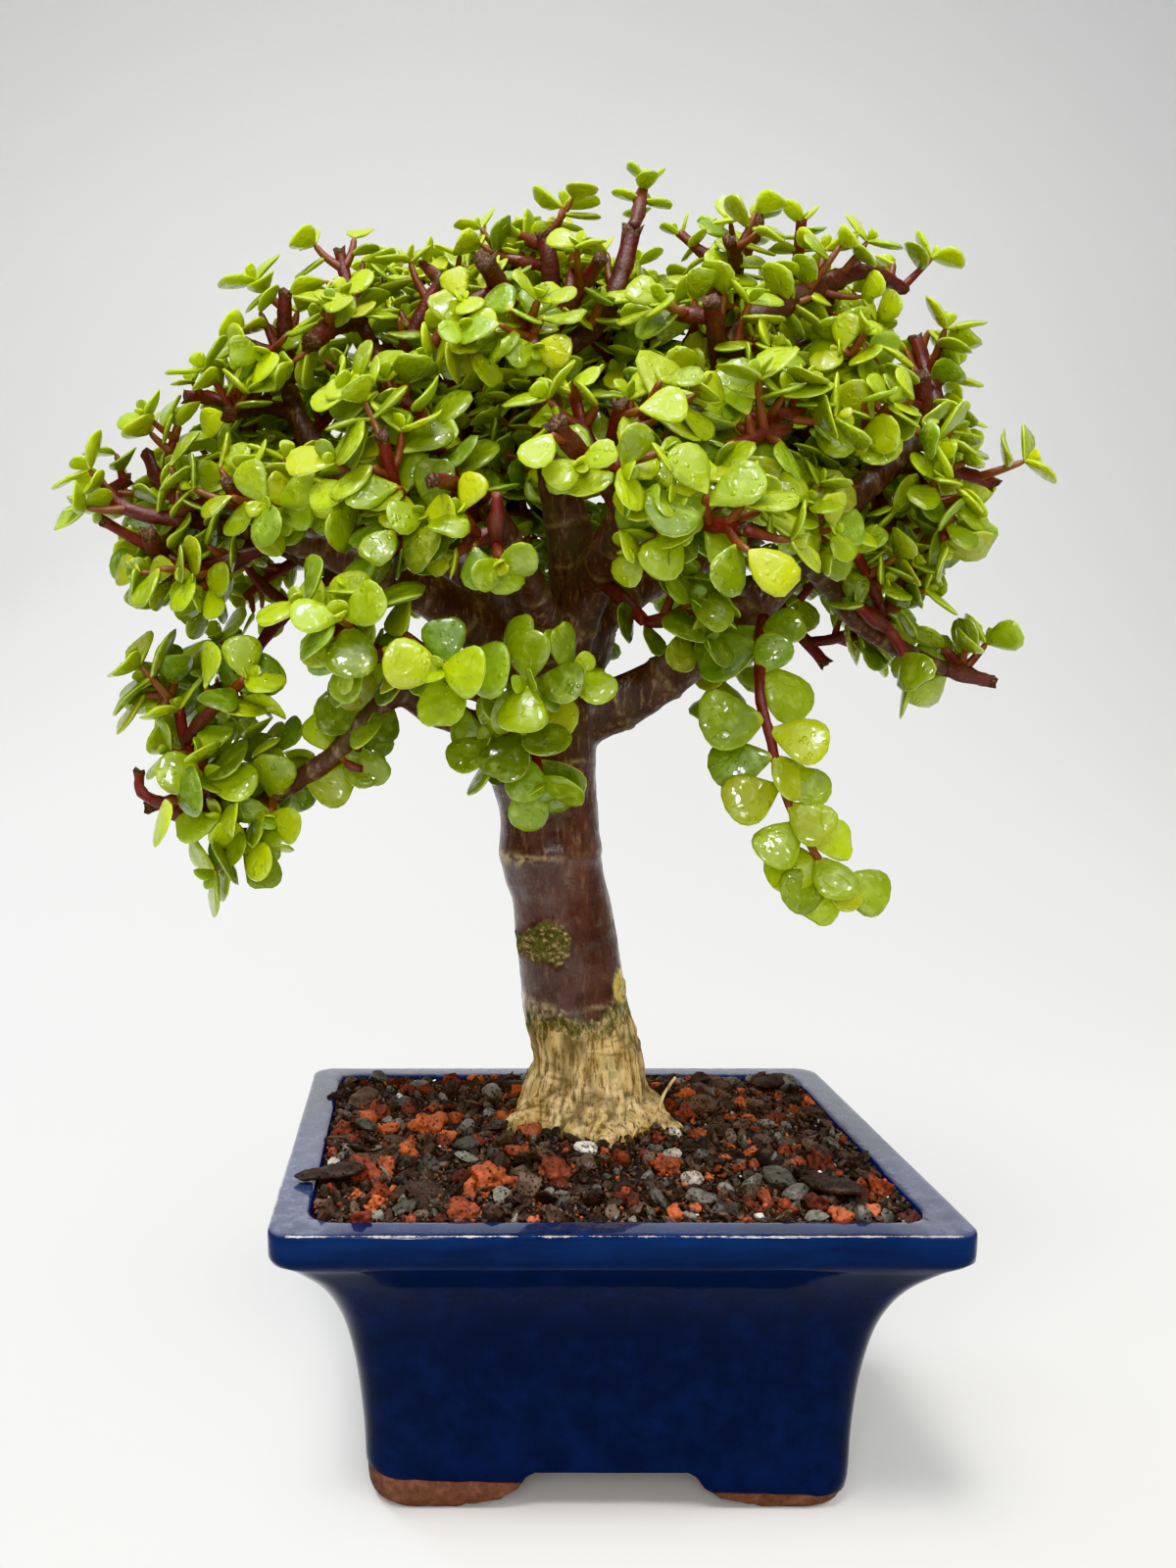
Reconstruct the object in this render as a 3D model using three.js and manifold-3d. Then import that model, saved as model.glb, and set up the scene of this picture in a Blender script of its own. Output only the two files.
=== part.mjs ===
// A dwarf jade (Portulacaria afra) bonsai in a glazed rectangular pot, in millimetres with +Z up.
// The tree is grown by rule from a few named limbs and shoot tips. The leaves stand in opposite pairs,
// each pair turned a quarter turn from the last, as they do on the living plant.
import * as THREE from "three";
import { mergeVertices } from "three/addons/utils/BufferGeometryUtils.js";
import Module from "manifold-3d";

const wasm = await Module();
wasm.setup();
const { Manifold } = wasm;

// ---------------------------------------------------------------- driving dimensions
const seatGap = 0.35; // clear space between two pieces that rest on each other

const pot = {
  width: 170, // across the rim, left to right
  depth: 136, // across the rim, front to back
  height: 79.7,
  rimCorner: 6, // corner radius of the rim
  bodyCorner: 10, // corner radius of the body below the rim
  floorTop: 18, // height of the inside floor
  underside: 10.2, // height of the underside between the feet
  // how far the outside wall stands in from the rim's edge, by height: [height, inset]
  outside: [
    [0, 25], [1.6, 23.6], [6, 22.6], [20, 21.8], [33, 20.3], [46, 17.7], [55, 14.4], [62, 10.3],
    [68, 5], [72, 1.5], [75, 0.2], [79, 0], [79.7, 0.8],
  ],
  // the same for the inside wall
  inside: [
    [18, 29], [40, 26], [52, 22], [62, 17], [70, 12.8], [76, 10.2], [79.7, 9], [90, 9],
  ],
  // half width of the gap between the feet, by height, seen from the front: [height, half width]
  archFront: [
    [-1, 38.5], [0, 38.5], [1.1, 35.8], [2.1, 32.6], [3.1, 28], [4.4, 26.5], [6, 23.7], [8.9, 21.7],
    [10.2, 19.4],
  ],
  archSideShift: 14, // the gap seen from the side is narrower by this on each half
  drainX: 29, // the two drainage holes stand this far from the middle
  drainRadius: 6.5,
};

const screen = { side: 25, thick: 1.2, cells: 2, bar: 3 }; // plastic screen over a drainage hole

const soil = {
  edgeHeight: 77.6, // height of the bed along the wall
  moundHeight: 81, // and beside the trunk
  moundRadius: 58,
  grains: 40,
  grainSmall: 3.2, // radius of the smallest grain that shows
  grainLarge: 5.4,
  trunkClear: 27, // no grain lies nearer to the trunk's foot than this
};

// flat dark pieces of bark on the soil: [x, y, underside, length, width, thickness, turn in degrees]
const barkChips = [
  [-72, -33, 80.6, 19, 8, 2.4, 12],
  [57, -41, 80.2, 17, 9, 2.6, -48],
  [66, 47, 80.4, 15, 8, 2.4, 30],
  [-20, 44, 80.2, 13, 7, 2.2, -15],
];

// the trunk's middle line: [x, y, z, radius]; the part below the soil ends in a blunt root
const trunkLine = [
  [3, 17, 54, 9], [3, 17, 66, 17], [2.6, 17, 77, 23.5], [2.1, 17, 82, 23], [1.5, 17, 88, 19.4],
  [2.1, 17, 98.5, 16.6], [-1.5, 17, 111, 16], [-2.7, 17, 119.3, 15.6], [-5, 17, 135.8, 15.3],
  [-6.8, 17, 148.3, 14.6], [-9.2, 17, 158, 15.4], [-10.1, 17, 173.1, 15], [-12, 17, 187, 16.4],
  [-11.5, 17, 200, 16], [-9, 17, 212, 12.5], [-7, 17, 219, 8],
];

// roots that leave the trunk's foot at the surface and dive into the soil
const roots = [
  [[0, 14, 86, 8], [-12, 9, 83, 6.5], [-21, 4, 79.5, 4.6], [-27, 1, 72, 3]],
  [[4, 14, 86, 8], [16, 9, 82.5, 6], [24.5, 4, 79.5, 4.4], [30, 1, 72, 2.8]],
  [[2, 10, 85, 8], [3, -2, 82, 5.6], [4, -10, 78, 4], [4, -15, 71, 2.6]],
  [[4, 20, 86, 8], [14, 32, 82, 5.6], [20, 40, 78, 4], [23, 45, 71, 2.6]],
  [[0, 20, 86, 8], [-10, 32, 82, 5.6], [-16, 39, 78, 4], [-19, 44, 71, 2.6]],
];

// the limbs of the crown: [x, y, z, radius] from where each leaves the trunk or its parent limb
const limbs = [
  [[-10, 17, 198, 9.4], [-1, 15, 200, 9], [17, 10, 208, 7.6], [35, 4, 222, 6.8], [53, 0, 238, 6],
    [61, -2, 250, 5.4], [76, 0, 264, 4.8], [92, 4, 278, 4.2], [104, 8, 291, 3.6]],
  [[-7, 20, 210, 8.4], [6, 26, 231, 7], [25, 38, 244, 6.2], [48, 50, 255, 5.4], [73, 58, 269, 4.4],
    [97, 62, 290, 3.4]],
  [[-9, 14, 212, 8.2], [0, 2, 238, 7.2], [12, -10, 259, 6.2], [22, -16, 277, 5], [34, -18, 294, 4],
    [41, -16, 310, 3]],
  [[61, -2, 250, 4.6], [73, 8, 239, 4], [84, 14, 228, 3.4], [101, 18, 219, 2.8], [114, 20, 214, 2.4]],
  [[-7, 18, 210, 9.5], [-2, 16, 239, 8], [-6, 10, 262, 6.6], [-11, 6, 285, 5.2], [-12, 6, 305, 4.2],
    [-9, 8, 323, 3.2]],
  [[-2, 22, 210, 8.5], [11, 40, 245, 7], [22, 56, 276, 5.6], [27, 62, 307, 4.4], [28, 62, 336, 3.2]],
  [[-14, 16, 206, 9], [-28, 6, 223, 7.8], [-45, -4, 235, 6.6], [-64, -10, 243, 5.6],
    [-78, -10, 249, 4.8], [-95, -6, 254, 4], [-112, 0, 257, 3.2]],
  [[-12, 20, 208, 8.6], [-27, 22, 237, 6.8], [-48, 26, 257, 5.8], [-70, 28, 272, 4.8],
    [-85, 28, 289, 4], [-90, 28, 304, 3]],
  [[-48, 26, 257, 5], [-50, 16, 278, 4.4], [-54, 8, 294, 3.8], [-63, 6, 310, 3]],
  [[-10, 17, 189, 7], [-27, 4, 197, 4.8], [-45, -6, 202, 4], [-54, -10, 208, 3.8], [-63, -10, 201, 3.6],
    [-73, -8, 190, 3.4], [-85, -4, 182, 3.2], [-96, 0, 175, 3], [-108, 4, 173, 2.8]],
  [[-10, 14, 192, 6], [-16, -8, 202, 3.8], [-27, -26, 206, 3.2], [-39, -40, 209, 2.6]],
  [[-8, 22, 205, 9], [-30, 40, 228, 6.6], [-55, 58, 243, 5.4], [-82, 70, 252, 4.2], [-104, 74, 262, 3]],
  [[-6, 24, 205, 8.6], [-10, 48, 232, 6.8], [-22, 70, 262, 5.4], [-34, 82, 290, 4.2], [-38, 84, 312, 3]],
  [[-6, 24, 202, 8], [2, 48, 212, 6], [12, 74, 220, 4.8], [18, 96, 226, 3.6], [22, 108, 232, 2.8]],
  [[25, 38, 244, 5], [44, 66, 244, 4.4], [66, 84, 246, 3.6], [84, 94, 252, 2.8]],
  [[-9, 12, 214, 7], [-13, -6, 228, 5.6], [-22, -26, 243, 4.4], [-32, -42, 258, 3.4]],
  [[0, 2, 238, 5.8], [4, -18, 247, 4.6], [5, -38, 252, 3.8], [2, -54, 256, 3]],
  [[27, 62, 307, 4], [40, 46, 322, 3.4], [50, 34, 334, 2.6]],
  [[-22, 70, 262, 4.6], [-44, 74, 288, 3.8], [-58, 70, 310, 2.8]],
];

// the leafy shoots that show in the front: each group is one branchlet with its main tip first
// [x, y, z, stem radius, 1 where the stem ends in a pruned stub]
const frontTips = [
  [[-73, 5, 339, 1.9, 1], [-80, -12, 306, 2.9, 1]],
  [[-90, 18, 331, 2.4, 1], [-99, -2, 310, 1.6, 0]],
  [[-122, 22, 299, 2.2, 1], [-105, 2, 289, 2.6, 1]],
  [[-134, 25, 282, 2.2, 1], [-127, 10, 290, 1.5, 0]],
  [[-102, -22, 266, 2.2, 1], [-86, -36, 261, 1.6, 0]],
  [[-136, 8, 271, 2, 1], [-114, -14, 264, 1.5, 0]],
  [[-142, 2, 258, 1.8, 1], [-126, -12, 253, 2.3, 1]],
  [[-135, 6, 245, 1.9, 0], [-116, -14, 237, 1.7, 0]],
  [[-124, -6, 201, 1.9, 0], [-133, 10, 208, 1.5, 0], [-102, -26, 210, 1.7, 0]],
  [[-132, 6, 184, 1.7, 1], [-115, -16, 187, 1.6, 0], [-120, -10, 168, 1.5, 0]],
  [[-131, 10, 173, 2.1, 1], [-110, -14, 169, 1.6, 0], [-96, -12, 170, 1.5, 0]],
  [[-69, -22, 183, 1.5, 0], [-74, -30, 200, 1.6, 0], [-83, -18, 190, 1.5, 0]],
  [[17, -22, 226, 1.9, 0], [32, -26, 231, 1.7, 0]],
  [[-81, -62, 229, 1.8, 0], [-69, -50, 219, 1.6, 0]],
  [[-46, -72, 212, 1.8, 0], [-56, -56, 221, 1.6, 0]],
  [[-11, -58, 211, 1.8, 0], [-26, -50, 214, 1.6, 0]],
  [[-18, -36, 180, 1.7, 0], [-31, -40, 192, 1.5, 0]],
  [[-31, -70, 240, 1.7, 0], [-42, -60, 243, 1.5, 0], [-32, -72, 257, 1.6, 0]],
  [[-46, -74, 257, 1.8, 1], [-60, -48, 244, 1.6, 0]],
  [[-58, -60, 271, 1.8, 1], [-69, -52, 258, 1.6, 0]],
  [[-32, -38, 321, 3.1, 1], [-48, -34, 305, 1.8, 0], [-20, -48, 301, 1.7, 0]],
  [[-52, -50, 283, 1.7, 0], [-65, -34, 290, 1.7, 0]],
  [[-18, -82, 269, 2.6, 1], [-2, -84, 261, 1.8, 0], [-11, -64, 284, 1.7, 0]],
  [[-1, -68, 277, 1.9, 1], [14, -58, 286, 1.8, 0]],
  [[27, -78, 245, 1.9, 1], [11, -74, 250, 1.7, 0]],
  [[57, -44, 259, 1.9, 0], [59, -34, 247, 1.7, 0]],
  [[27, -40, 310, 2.5, 1], [16, -34, 315, 1.8, 0], [44, -36, 304, 1.8, 0]],
  [[46, -42, 276, 2.4, 1], [57, -36, 287, 1.8, 0], [30, -60, 271, 1.8, 0]],
  [[-43, 0, 328, 2, 1], [-51, 10, 342, 1.5, 0]],
  [[-13, 2, 343, 2.5, 1], [-19, 14, 352, 1.6, 0], [-27, 22, 348, 1.6, 0]],
  [[2, -14, 330, 2.2, 1], [-3, 8, 344, 1.6, 0]],
  [[13, 0, 343, 2.9, 1], [21, 18, 370, 1.8, 0]],
  [[42, 4, 341, 2, 1], [33, 24, 356, 1.6, 0]],
  [[57, 30, 356, 2.7, 1], [50, 44, 364, 1.6, 0]],
  [[69, 12, 355, 1.9, 0], [54, -10, 325, 1.7, 0]],
  [[80, 4, 332, 3.1, 1], [100, 22, 332, 1.9, 1]],
  [[101, 16, 316, 2.2, 1], [75, -12, 308, 1.7, 0]],
  [[95, -6, 299, 2.5, 1], [77, -26, 281, 1.7, 0]],
  [[119, 26, 286, 1.8, 0], [117, 36, 297, 1.6, 0]],
  [[123, 10, 270, 2, 1], [108, -6, 252, 1.7, 0]],
  [[111, 22, 252, 1.7, 0], [83, -4, 249, 1.7, 0]],
  [[127, 20, 211, 2.1, 1], [120, 26, 221, 1.6, 0]],
  [[104, 10, 213, 1.6, 0], [86, 2, 233, 1.7, 0]],
];

// one long twig that hangs from the right-hand limb, with leaf pairs all the way: [x, y, z, radius]
const hangingTwig = [
  [49, -6, 229, 2.4], [46, -22, 217, 2.2], [44, -33, 207, 2], [47, -37, 196, 2], [49, -38, 187, 1.9],
  [53, -39, 177, 1.8], [61, -40, 164, 1.8], [66, -40, 160, 1.8],
];

// the back of the crown follows a rule: rows of branchlets on a dome round the crown's middle
const crown = { x: -8, y: 20, z: 235, reachX: 128, reachY: 98, reachUp: 118, reachDown: 60 };
const backRows = [
  { rise: -14, azimuths: [32, 90, 148] },
  { rise: 20, azimuths: [20, 55, 90, 125, 160] },
  { rise: 52, azimuths: [50, 92, 130] },
];
const backForks = [[0, 0], [17, -15], [-16, 14], [5, 24]]; // a branchlet's tips: [turn, rise] in degrees

const shoot = {
  nodes: 4, // pairs of side shoots or leaves on a stem
  share: 0.62, // how often a bud has grown into a side shoot
  short: 5,
  long: 13,
  radius: 1,
  pairGap: 5.6, // distance between leaf pairs
  leafyEnd: 7, // an uncut stem stops this short of its tip, and its last leaves reach the rest
};

const leaf = {
  length: 13,
  low: 1.12, // leaves are this much larger at the foot of the crown
  high: 0.84, // and smaller at its top
  width: 0.8, // share of the length
  thick: 2.2,
  disc: 0.4,
  discAt: 0.6,
};

// ---------------------------------------------------------------- small helpers
const degrees = Math.PI / 180;
const up = new THREE.Vector3(0, 0, 1);

// Repeatable random numbers from 0 to 1.
function makeRandom(seed) {
  let state = seed >>> 0;
  return () => {
    state = (Math.imul(state, 1664525) + 1013904223) >>> 0;
    return state / 4294967296;
  };
}

const between = (random, low, high) => low + (high - low) * random();

// A closed solid from points and triangles, turned outwards if its faces point in.
function solidOf(points, triangles) {
  const geometry = new THREE.BufferGeometry();
  geometry.setAttribute("position", new THREE.Float32BufferAttribute(points.flat(), 3));
  geometry.setIndex(triangles.flat());
  const made = fromGeometry(geometry);
  if (made.volume() > 0) return made;
  geometry.setIndex(triangles.map(([a, b, c]) => [a, c, b]).flat());
  return fromGeometry(geometry);
}

// A three.js geometry as a solid that can be joined and cut.
function fromGeometry(geometry) {
  const bare = geometry.clone();
  bare.deleteAttribute("normal");
  bare.deleteAttribute("uv");
  const merged = mergeVertices(bare, 1e-4);
  return new Manifold(
    new wasm.Mesh({
      numProp: 3,
      vertProperties: merged.attributes.position.array,
      triVerts: new Uint32Array(merged.index.array),
    }),
  );
}

// A solid as a named three.js mesh.
function toMesh(name, solid, material) {
  const data = solid.getMesh();
  const geometry = new THREE.BufferGeometry();
  geometry.setAttribute("position", new THREE.BufferAttribute(data.vertProperties, 3));
  geometry.setIndex(new THREE.BufferAttribute(data.triVerts, 1));
  const made = new THREE.Mesh(geometry.toNonIndexed(), material);
  made.geometry.computeVertexNormals();
  made.name = name;
  return made;
}

const joined = (solids) => Manifold.union(solids);

// The largest of a solid's separate bodies: loose scraps left by a cut are dropped.
function largestBody(solid) {
  const bodies = solid.decompose();
  return bodies.reduce((best, body) => (body.volume() > best.volume() ? body : best));
}

// A solid skin over rings of points, one ring after another, with flat ends.
function loft(rings) {
  const sides = rings[0].length;
  const triangles = [];
  for (let i = 0; i < rings.length - 1; i++) {
    for (let k = 0; k < sides; k++) {
      const next = (k + 1) % sides;
      const a = i * sides + k;
      const b = i * sides + next;
      triangles.push([a, b, b + sides], [a, b + sides, a + sides]);
    }
  }
  const last = (rings.length - 1) * sides;
  for (let k = 1; k < sides - 1; k++) {
    triangles.push([0, k + 1, k], [last, last + k, last + k + 1]);
  }
  return solidOf(rings.flat(), triangles);
}

// A smooth line through knots of [x, y, z, radius], with a number of cuts between two knots.
function smooth(knots, cuts) {
  const line = [];
  for (let i = 0; i < knots.length - 1; i++) {
    const a = knots[Math.max(i - 1, 0)];
    const b = knots[i];
    const c = knots[i + 1];
    const d = knots[Math.min(i + 2, knots.length - 1)];
    for (let k = 0; k < cuts; k++) {
      const t = k / cuts;
      line.push(
        b.map(
          (_, n) =>
            0.5 *
            (2 * b[n] +
              (c[n] - a[n]) * t +
              (2 * a[n] - 5 * b[n] + 4 * c[n] - d[n]) * t * t +
              (3 * b[n] - a[n] - 3 * c[n] + d[n]) * t * t * t),
        ),
      );
    }
  }
  line.push(knots[knots.length - 1]);
  return line;
}

const pointOf = ([x, y, z]) => new THREE.Vector3(x, y, z);

// Two directions at right angles to a line's direction, and to each other.
function crossAxes(along) {
  const helper = Math.abs(along.z) < 0.9 ? up : new THREE.Vector3(1, 0, 0);
  const side = new THREE.Vector3().crossVectors(helper, along).normalize();
  return [side, new THREE.Vector3().crossVectors(along, side)];
}

// The direction of a line at one of its points.
function directionAt(line, i) {
  const from = pointOf(line[Math.max(i - 1, 0)]);
  const to = pointOf(line[Math.min(i + 1, line.length - 1)]);
  return to.sub(from).normalize();
}

// A round tapering rod along a line of [x, y, z, radius], grown by a clearance on request.
function rod(line, sides, extra = 0) {
  let [side] = crossAxes(directionAt(line, 0));
  const rings = line.map((knot, i) => {
    const along = directionAt(line, i);
    side = side.clone().addScaledVector(along, -side.dot(along)).normalize();
    const across = new THREE.Vector3().crossVectors(along, side);
    const middle = pointOf(knot);
    if (i === 0) middle.addScaledVector(along, -extra);
    if (i === line.length - 1) middle.addScaledVector(along, extra);
    return Array.from({ length: sides }, (_, k) => {
      const angle = (2 * Math.PI * (k + 0.5)) / sides;
      const radius = knot[3] + extra;
      return middle
        .clone()
        .addScaledVector(side, radius * Math.cos(angle))
        .addScaledVector(across, radius * Math.sin(angle))
        .toArray();
    });
  });
  return loft(rings);
}

// ---------------------------------------------------------------- the pot
// A ring of points round a rectangle with round corners, at one height.
function roundedRing(halfX, halfY, corner, height, arcPoints = 4) {
  const ring = [];
  for (const [sx, sy, start] of [[1, 1, 0], [-1, 1, 90], [-1, -1, 180], [1, -1, 270]]) {
    for (let k = 0; k < arcPoints; k++) {
      const angle = (start + (90 * k) / (arcPoints - 1)) * degrees;
      ring.push([
        sx * (halfX - corner) + corner * Math.cos(angle),
        sy * (halfY - corner) + corner * Math.sin(angle),
        height,
      ]);
    }
  }
  return ring;
}

// A body with round corners whose sides follow a profile of [height, inset from the rim's edge].
function wallBody(profile, shrink = 0) {
  return loft(
    profile.map(([height, inset]) => {
      const corner = THREE.MathUtils.lerp(pot.rimCorner, pot.bodyCorner, Math.min(inset / 22, 1));
      const halfX = pot.width / 2 - inset - shrink;
      const halfY = pot.depth / 2 - inset - shrink;
      return roundedRing(halfX, halfY, corner, height);
    }),
  );
}

// The gap between the feet as a bar right through the pot, open below.
function footGap(narrower, length, turn) {
  const right = pot.archFront.map(([height, half]) => [half - narrower, height]);
  const left = right.map(([half, height]) => [-half, height]).reverse();
  const shape = new THREE.Shape([...right, ...left].map(([x, y]) => new THREE.Vector2(x, y)));
  const geometry = new THREE.ExtrudeGeometry(shape, { depth: length, bevelEnabled: false });
  geometry.translate(0, 0, -length / 2);
  geometry.rotateX(90 * degrees);
  geometry.rotateZ(turn * degrees);
  return fromGeometry(geometry);
}

function upright(radius, low, high, x, y) {
  const geometry = new THREE.CylinderGeometry(radius, radius, high - low, 14);
  geometry.rotateX(90 * degrees);
  geometry.translate(x, y, (low + high) / 2);
  return fromGeometry(geometry);
}

function makePot() {
  const cavity = wallBody(pot.inside);
  const drains = [-pot.drainX, pot.drainX].map((x) => upright(pot.drainRadius, 2, 30, x, 0));
  return wallBody(pot.outside)
    .subtract(cavity)
    .subtract(footGap(0, pot.depth + 10, 0))
    .subtract(footGap(pot.archSideShift, pot.width + 10, 90))
    .subtract(joined(drains));
}

// ---------------------------------------------------------------- the drainage screens
function block(sizeX, sizeY, sizeZ, x, y, z) {
  return fromGeometry(new THREE.BoxGeometry(sizeX, sizeY, sizeZ).translate(x, y, z));
}

function makeScreen(x) {
  const z = pot.floorTop + seatGap + screen.thick / 2;
  const pitch = (screen.side - screen.bar) / screen.cells;
  const first = (screen.bar - screen.side + pitch) / 2;
  const hole = pitch - screen.bar;
  const holes = [];
  for (let i = 0; i < screen.cells; i++) {
    for (let j = 0; j < screen.cells; j++) {
      holes.push(block(hole, hole, 4 * screen.thick, x + first + i * pitch, first + j * pitch, z));
    }
  }
  return block(screen.side, screen.side, screen.thick, x, 0, z).subtract(joined(holes));
}

// ---------------------------------------------------------------- the soil
// Height of the bed: a low mound round the trunk.
function bedHeight(x, y) {
  const distance = Math.hypot(x - trunkLine[0][0], y - trunkLine[0][1]);
  const share = Math.max(0, 1 - distance / soil.moundRadius);
  return soil.edgeHeight + (soil.moundHeight - soil.edgeHeight) * share * (2 - share);
}

// A rough stone: a block with its corners pushed in and out, tumbled into place.
function grain(random, x, y, radius) {
  const side = radius * 1.45;
  const geometry = new THREE.BoxGeometry(side, side, side);
  geometry.deleteAttribute("normal");
  geometry.deleteAttribute("uv");
  const stone = mergeVertices(geometry, 1e-4);
  const position = stone.getAttribute("position");
  for (let i = 0; i < position.count; i++) {
    const push = between(random, 0.7, 1.12);
    position.setXYZ(i, position.getX(i) * push, position.getY(i) * push, position.getZ(i) * push);
  }
  stone.scale(1, between(random, 0.7, 1), between(random, 0.65, 0.95));
  stone.rotateX(between(random, -0.5, 0.5));
  stone.rotateY(between(random, -0.5, 0.5));
  stone.rotateZ(between(random, 0, Math.PI));
  stone.translate(x, y, bedHeight(x, y) + radius * 0.15);
  return fromGeometry(stone);
}

function chip([x, y, z, length, width, thick, turn]) {
  const outline = [[-0.5, -0.2], [-0.2, -0.5], [0.42, -0.4], [0.5, 0.1], [0.2, 0.5], [-0.4, 0.42]];
  const shape = new THREE.Shape(outline.map(([u, v]) => new THREE.Vector2(u * length, v * width)));
  const geometry = new THREE.ExtrudeGeometry(shape, { depth: thick, bevelEnabled: false });
  geometry.rotateZ(turn * degrees);
  geometry.translate(x, y, z);
  return fromGeometry(geometry);
}

function makeBed(inside) {
  const steps = 6;
  const halfX = pot.width / 2;
  const halfY = pot.depth / 2;
  const points = [];
  const triangles = [];
  for (let j = 0; j <= steps; j++) {
    for (let i = 0; i <= steps; i++) {
      const x = -halfX + (2 * halfX * i) / steps;
      const y = -halfY + (2 * halfY * j) / steps;
      points.push([x, y, bedHeight(x, y)]);
    }
  }
  const lower = points.length;
  points.push(...points.map(([x, y]) => [x, y, pot.floorTop + seatGap]));
  const at = (i, j) => j * (steps + 1) + i;
  for (let j = 0; j < steps; j++) {
    for (let i = 0; i < steps; i++) {
      const corners = [at(i, j), at(i + 1, j), at(i + 1, j + 1), at(i, j + 1)];
      const [a, b, c, d] = corners;
      triangles.push([a, b, c], [a, c, d]);
      triangles.push([lower + a, lower + c, lower + b], [lower + a, lower + d, lower + c]);
    }
  }
  for (let k = 0; k < steps; k++) {
    const edges = [
      [at(k + 1, 0), at(k, 0)],
      [at(steps, k + 1), at(steps, k)],
      [at(k, steps), at(k + 1, steps)],
      [at(0, k), at(0, k + 1)],
    ];
    for (const [a, b] of edges) triangles.push([a, b, lower + b], [a, lower + b, lower + a]);
  }
  return solidOf(points, triangles).intersect(inside);
}

function makeSoil(woodWithClearance) {
  const random = makeRandom(77);
  const inside = wallBody(pot.inside, seatGap);
  const halfX = pot.width / 2 - 10;
  const halfY = pot.depth / 2 - 10;
  const stones = [];
  const placed = [];
  while (placed.length < soil.grains) {
    const radius = THREE.MathUtils.lerp(soil.grainSmall, soil.grainLarge, random() ** 1.7);
    const x = between(random, -halfX, halfX);
    const y = between(random, -halfY, halfY);
    const crowded = placed.some((p) => Math.hypot(p.x - x, p.y - y) < 0.82 * (p.radius + radius));
    const nearTrunk = Math.hypot(x - trunkLine[0][0], y - trunkLine[0][1]) < soil.trunkClear;
    if (crowded || nearTrunk) continue;
    placed.push({ x, y, radius });
    stones.push(grain(random, x, y, radius));
  }
  const screenRoom = [-pot.drainX, pot.drainX].map((x) => {
    const side = screen.side + 2 * seatGap;
    return block(side, side, 2 * (screen.thick + 2 * seatGap), x, 0, pot.floorTop);
  });
  const bed = joined([makeBed(inside), ...stones]).intersect(inside);
  const filled = joined([bed, ...barkChips.map(chip)]);
  return largestBody(filled.subtract(woodWithClearance).subtract(joined(screenRoom)));
}

// ---------------------------------------------------------------- the trunk and limbs
function makeWood(extra = 0) {
  const pieces = [rod(smooth(trunkLine, 1), 12, extra)];
  for (const root of roots) pieces.push(rod(smooth(root, 1), 6, extra));
  for (const limb of limbs) pieces.push(rod(smooth(limb, 1), 6, extra));
  return joined(pieces);
}

// ---------------------------------------------------------------- how the branchlets grow
const crownMiddle = new THREE.Vector3(crown.x, crown.y, crown.z);

function backTips() {
  const groups = [];
  for (const { rise, azimuths } of backRows) {
    for (const azimuth of azimuths) {
      const random = makeRandom(4000 + groups.length);
      groups.push(
        backForks.map(([turn, lift], k) => {
          const around = (azimuth + turn + between(random, -4, 4)) * degrees;
          const raised = (rise + lift + between(random, -4, 4)) * degrees;
          const reach = between(random, 0.92, 1.03);
          const flat = Math.cos(raised) * reach;
          const tall = Math.sin(raised) * reach;
          const vertical = tall > 0 ? crown.reachUp : crown.reachDown;
          return [
            crown.x + crown.reachX * flat * Math.cos(around),
            crown.y + crown.reachY * flat * Math.sin(around),
            crown.z + vertical * tall,
            k === 0 ? 2.3 : 1.7,
            k === 0 ? 1 : 0,
          ];
        }),
      );
    }
  }
  return groups;
}

const usedStarts = [];

// The point of a line that a shoot to this tip would leave from: near, and not turning back.
function bestStart(lines, tip, least) {
  let best = null;
  for (const line of lines) {
    for (let i = 1; i < line.length; i++) {
      const from = pointOf(line[i]);
      const along = directionAt(line, i);
      const way = tip.clone().sub(from);
      const distance = way.length();
      if (distance < least) continue;
      const taken = usedStarts.some((other) => other.distanceTo(from) < 6) ? 2.2 : 1;
      const cost = taken * distance * (1.45 - (0.45 * along.dot(way)) / distance);
      if (!best || cost < best.cost) best = { cost, from, along, radius: line[i][3] };
    }
  }
  usedStarts.push(best.from);
  return best;
}

// A stem from its start to its tip: it leaves outwards and then turns up or down.
function stemLine(start, tip, radius, bend) {
  const way = tip.clone().sub(start.from);
  const length = way.length();
  const middle = start.from
    .clone()
    .add(new THREE.Vector3(way.x * 0.55, way.y * 0.55, way.z * 0.4))
    .addScaledVector(start.along, 0.1 * length)
    .add(bend);
  const line = [];
  const steps = 4;
  for (let i = 0; i <= steps; i++) {
    const t = i / steps;
    const point = start.from
      .clone()
      .multiplyScalar((1 - t) * (1 - t))
      .addScaledVector(middle, 2 * t * (1 - t))
      .addScaledVector(tip, t * t);
    line.push([point.x, point.y, point.z, radius * (1.2 - 0.3 * t)]);
  }
  return line;
}

// Everything woody so far, as short straight pieces that new growth keeps clear of.
const woodPieces = [];

function addWood(line, owner) {
  for (let i = 0; i < line.length - 1; i++) {
    const a = pointOf(line[i]);
    const b = pointOf(line[i + 1]);
    woodPieces.push({ a, b, radius: Math.max(line[i][3], line[i + 1][3]), owner });
  }
}

// Distance from a point to a straight piece.
function distanceTo(point, piece) {
  const way = piece.b.clone().sub(piece.a);
  const t = THREE.MathUtils.clamp(point.clone().sub(piece.a).dot(way) / way.lengthSq(), 0, 1);
  return point.distanceTo(piece.a.clone().addScaledVector(way, t));
}

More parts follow.
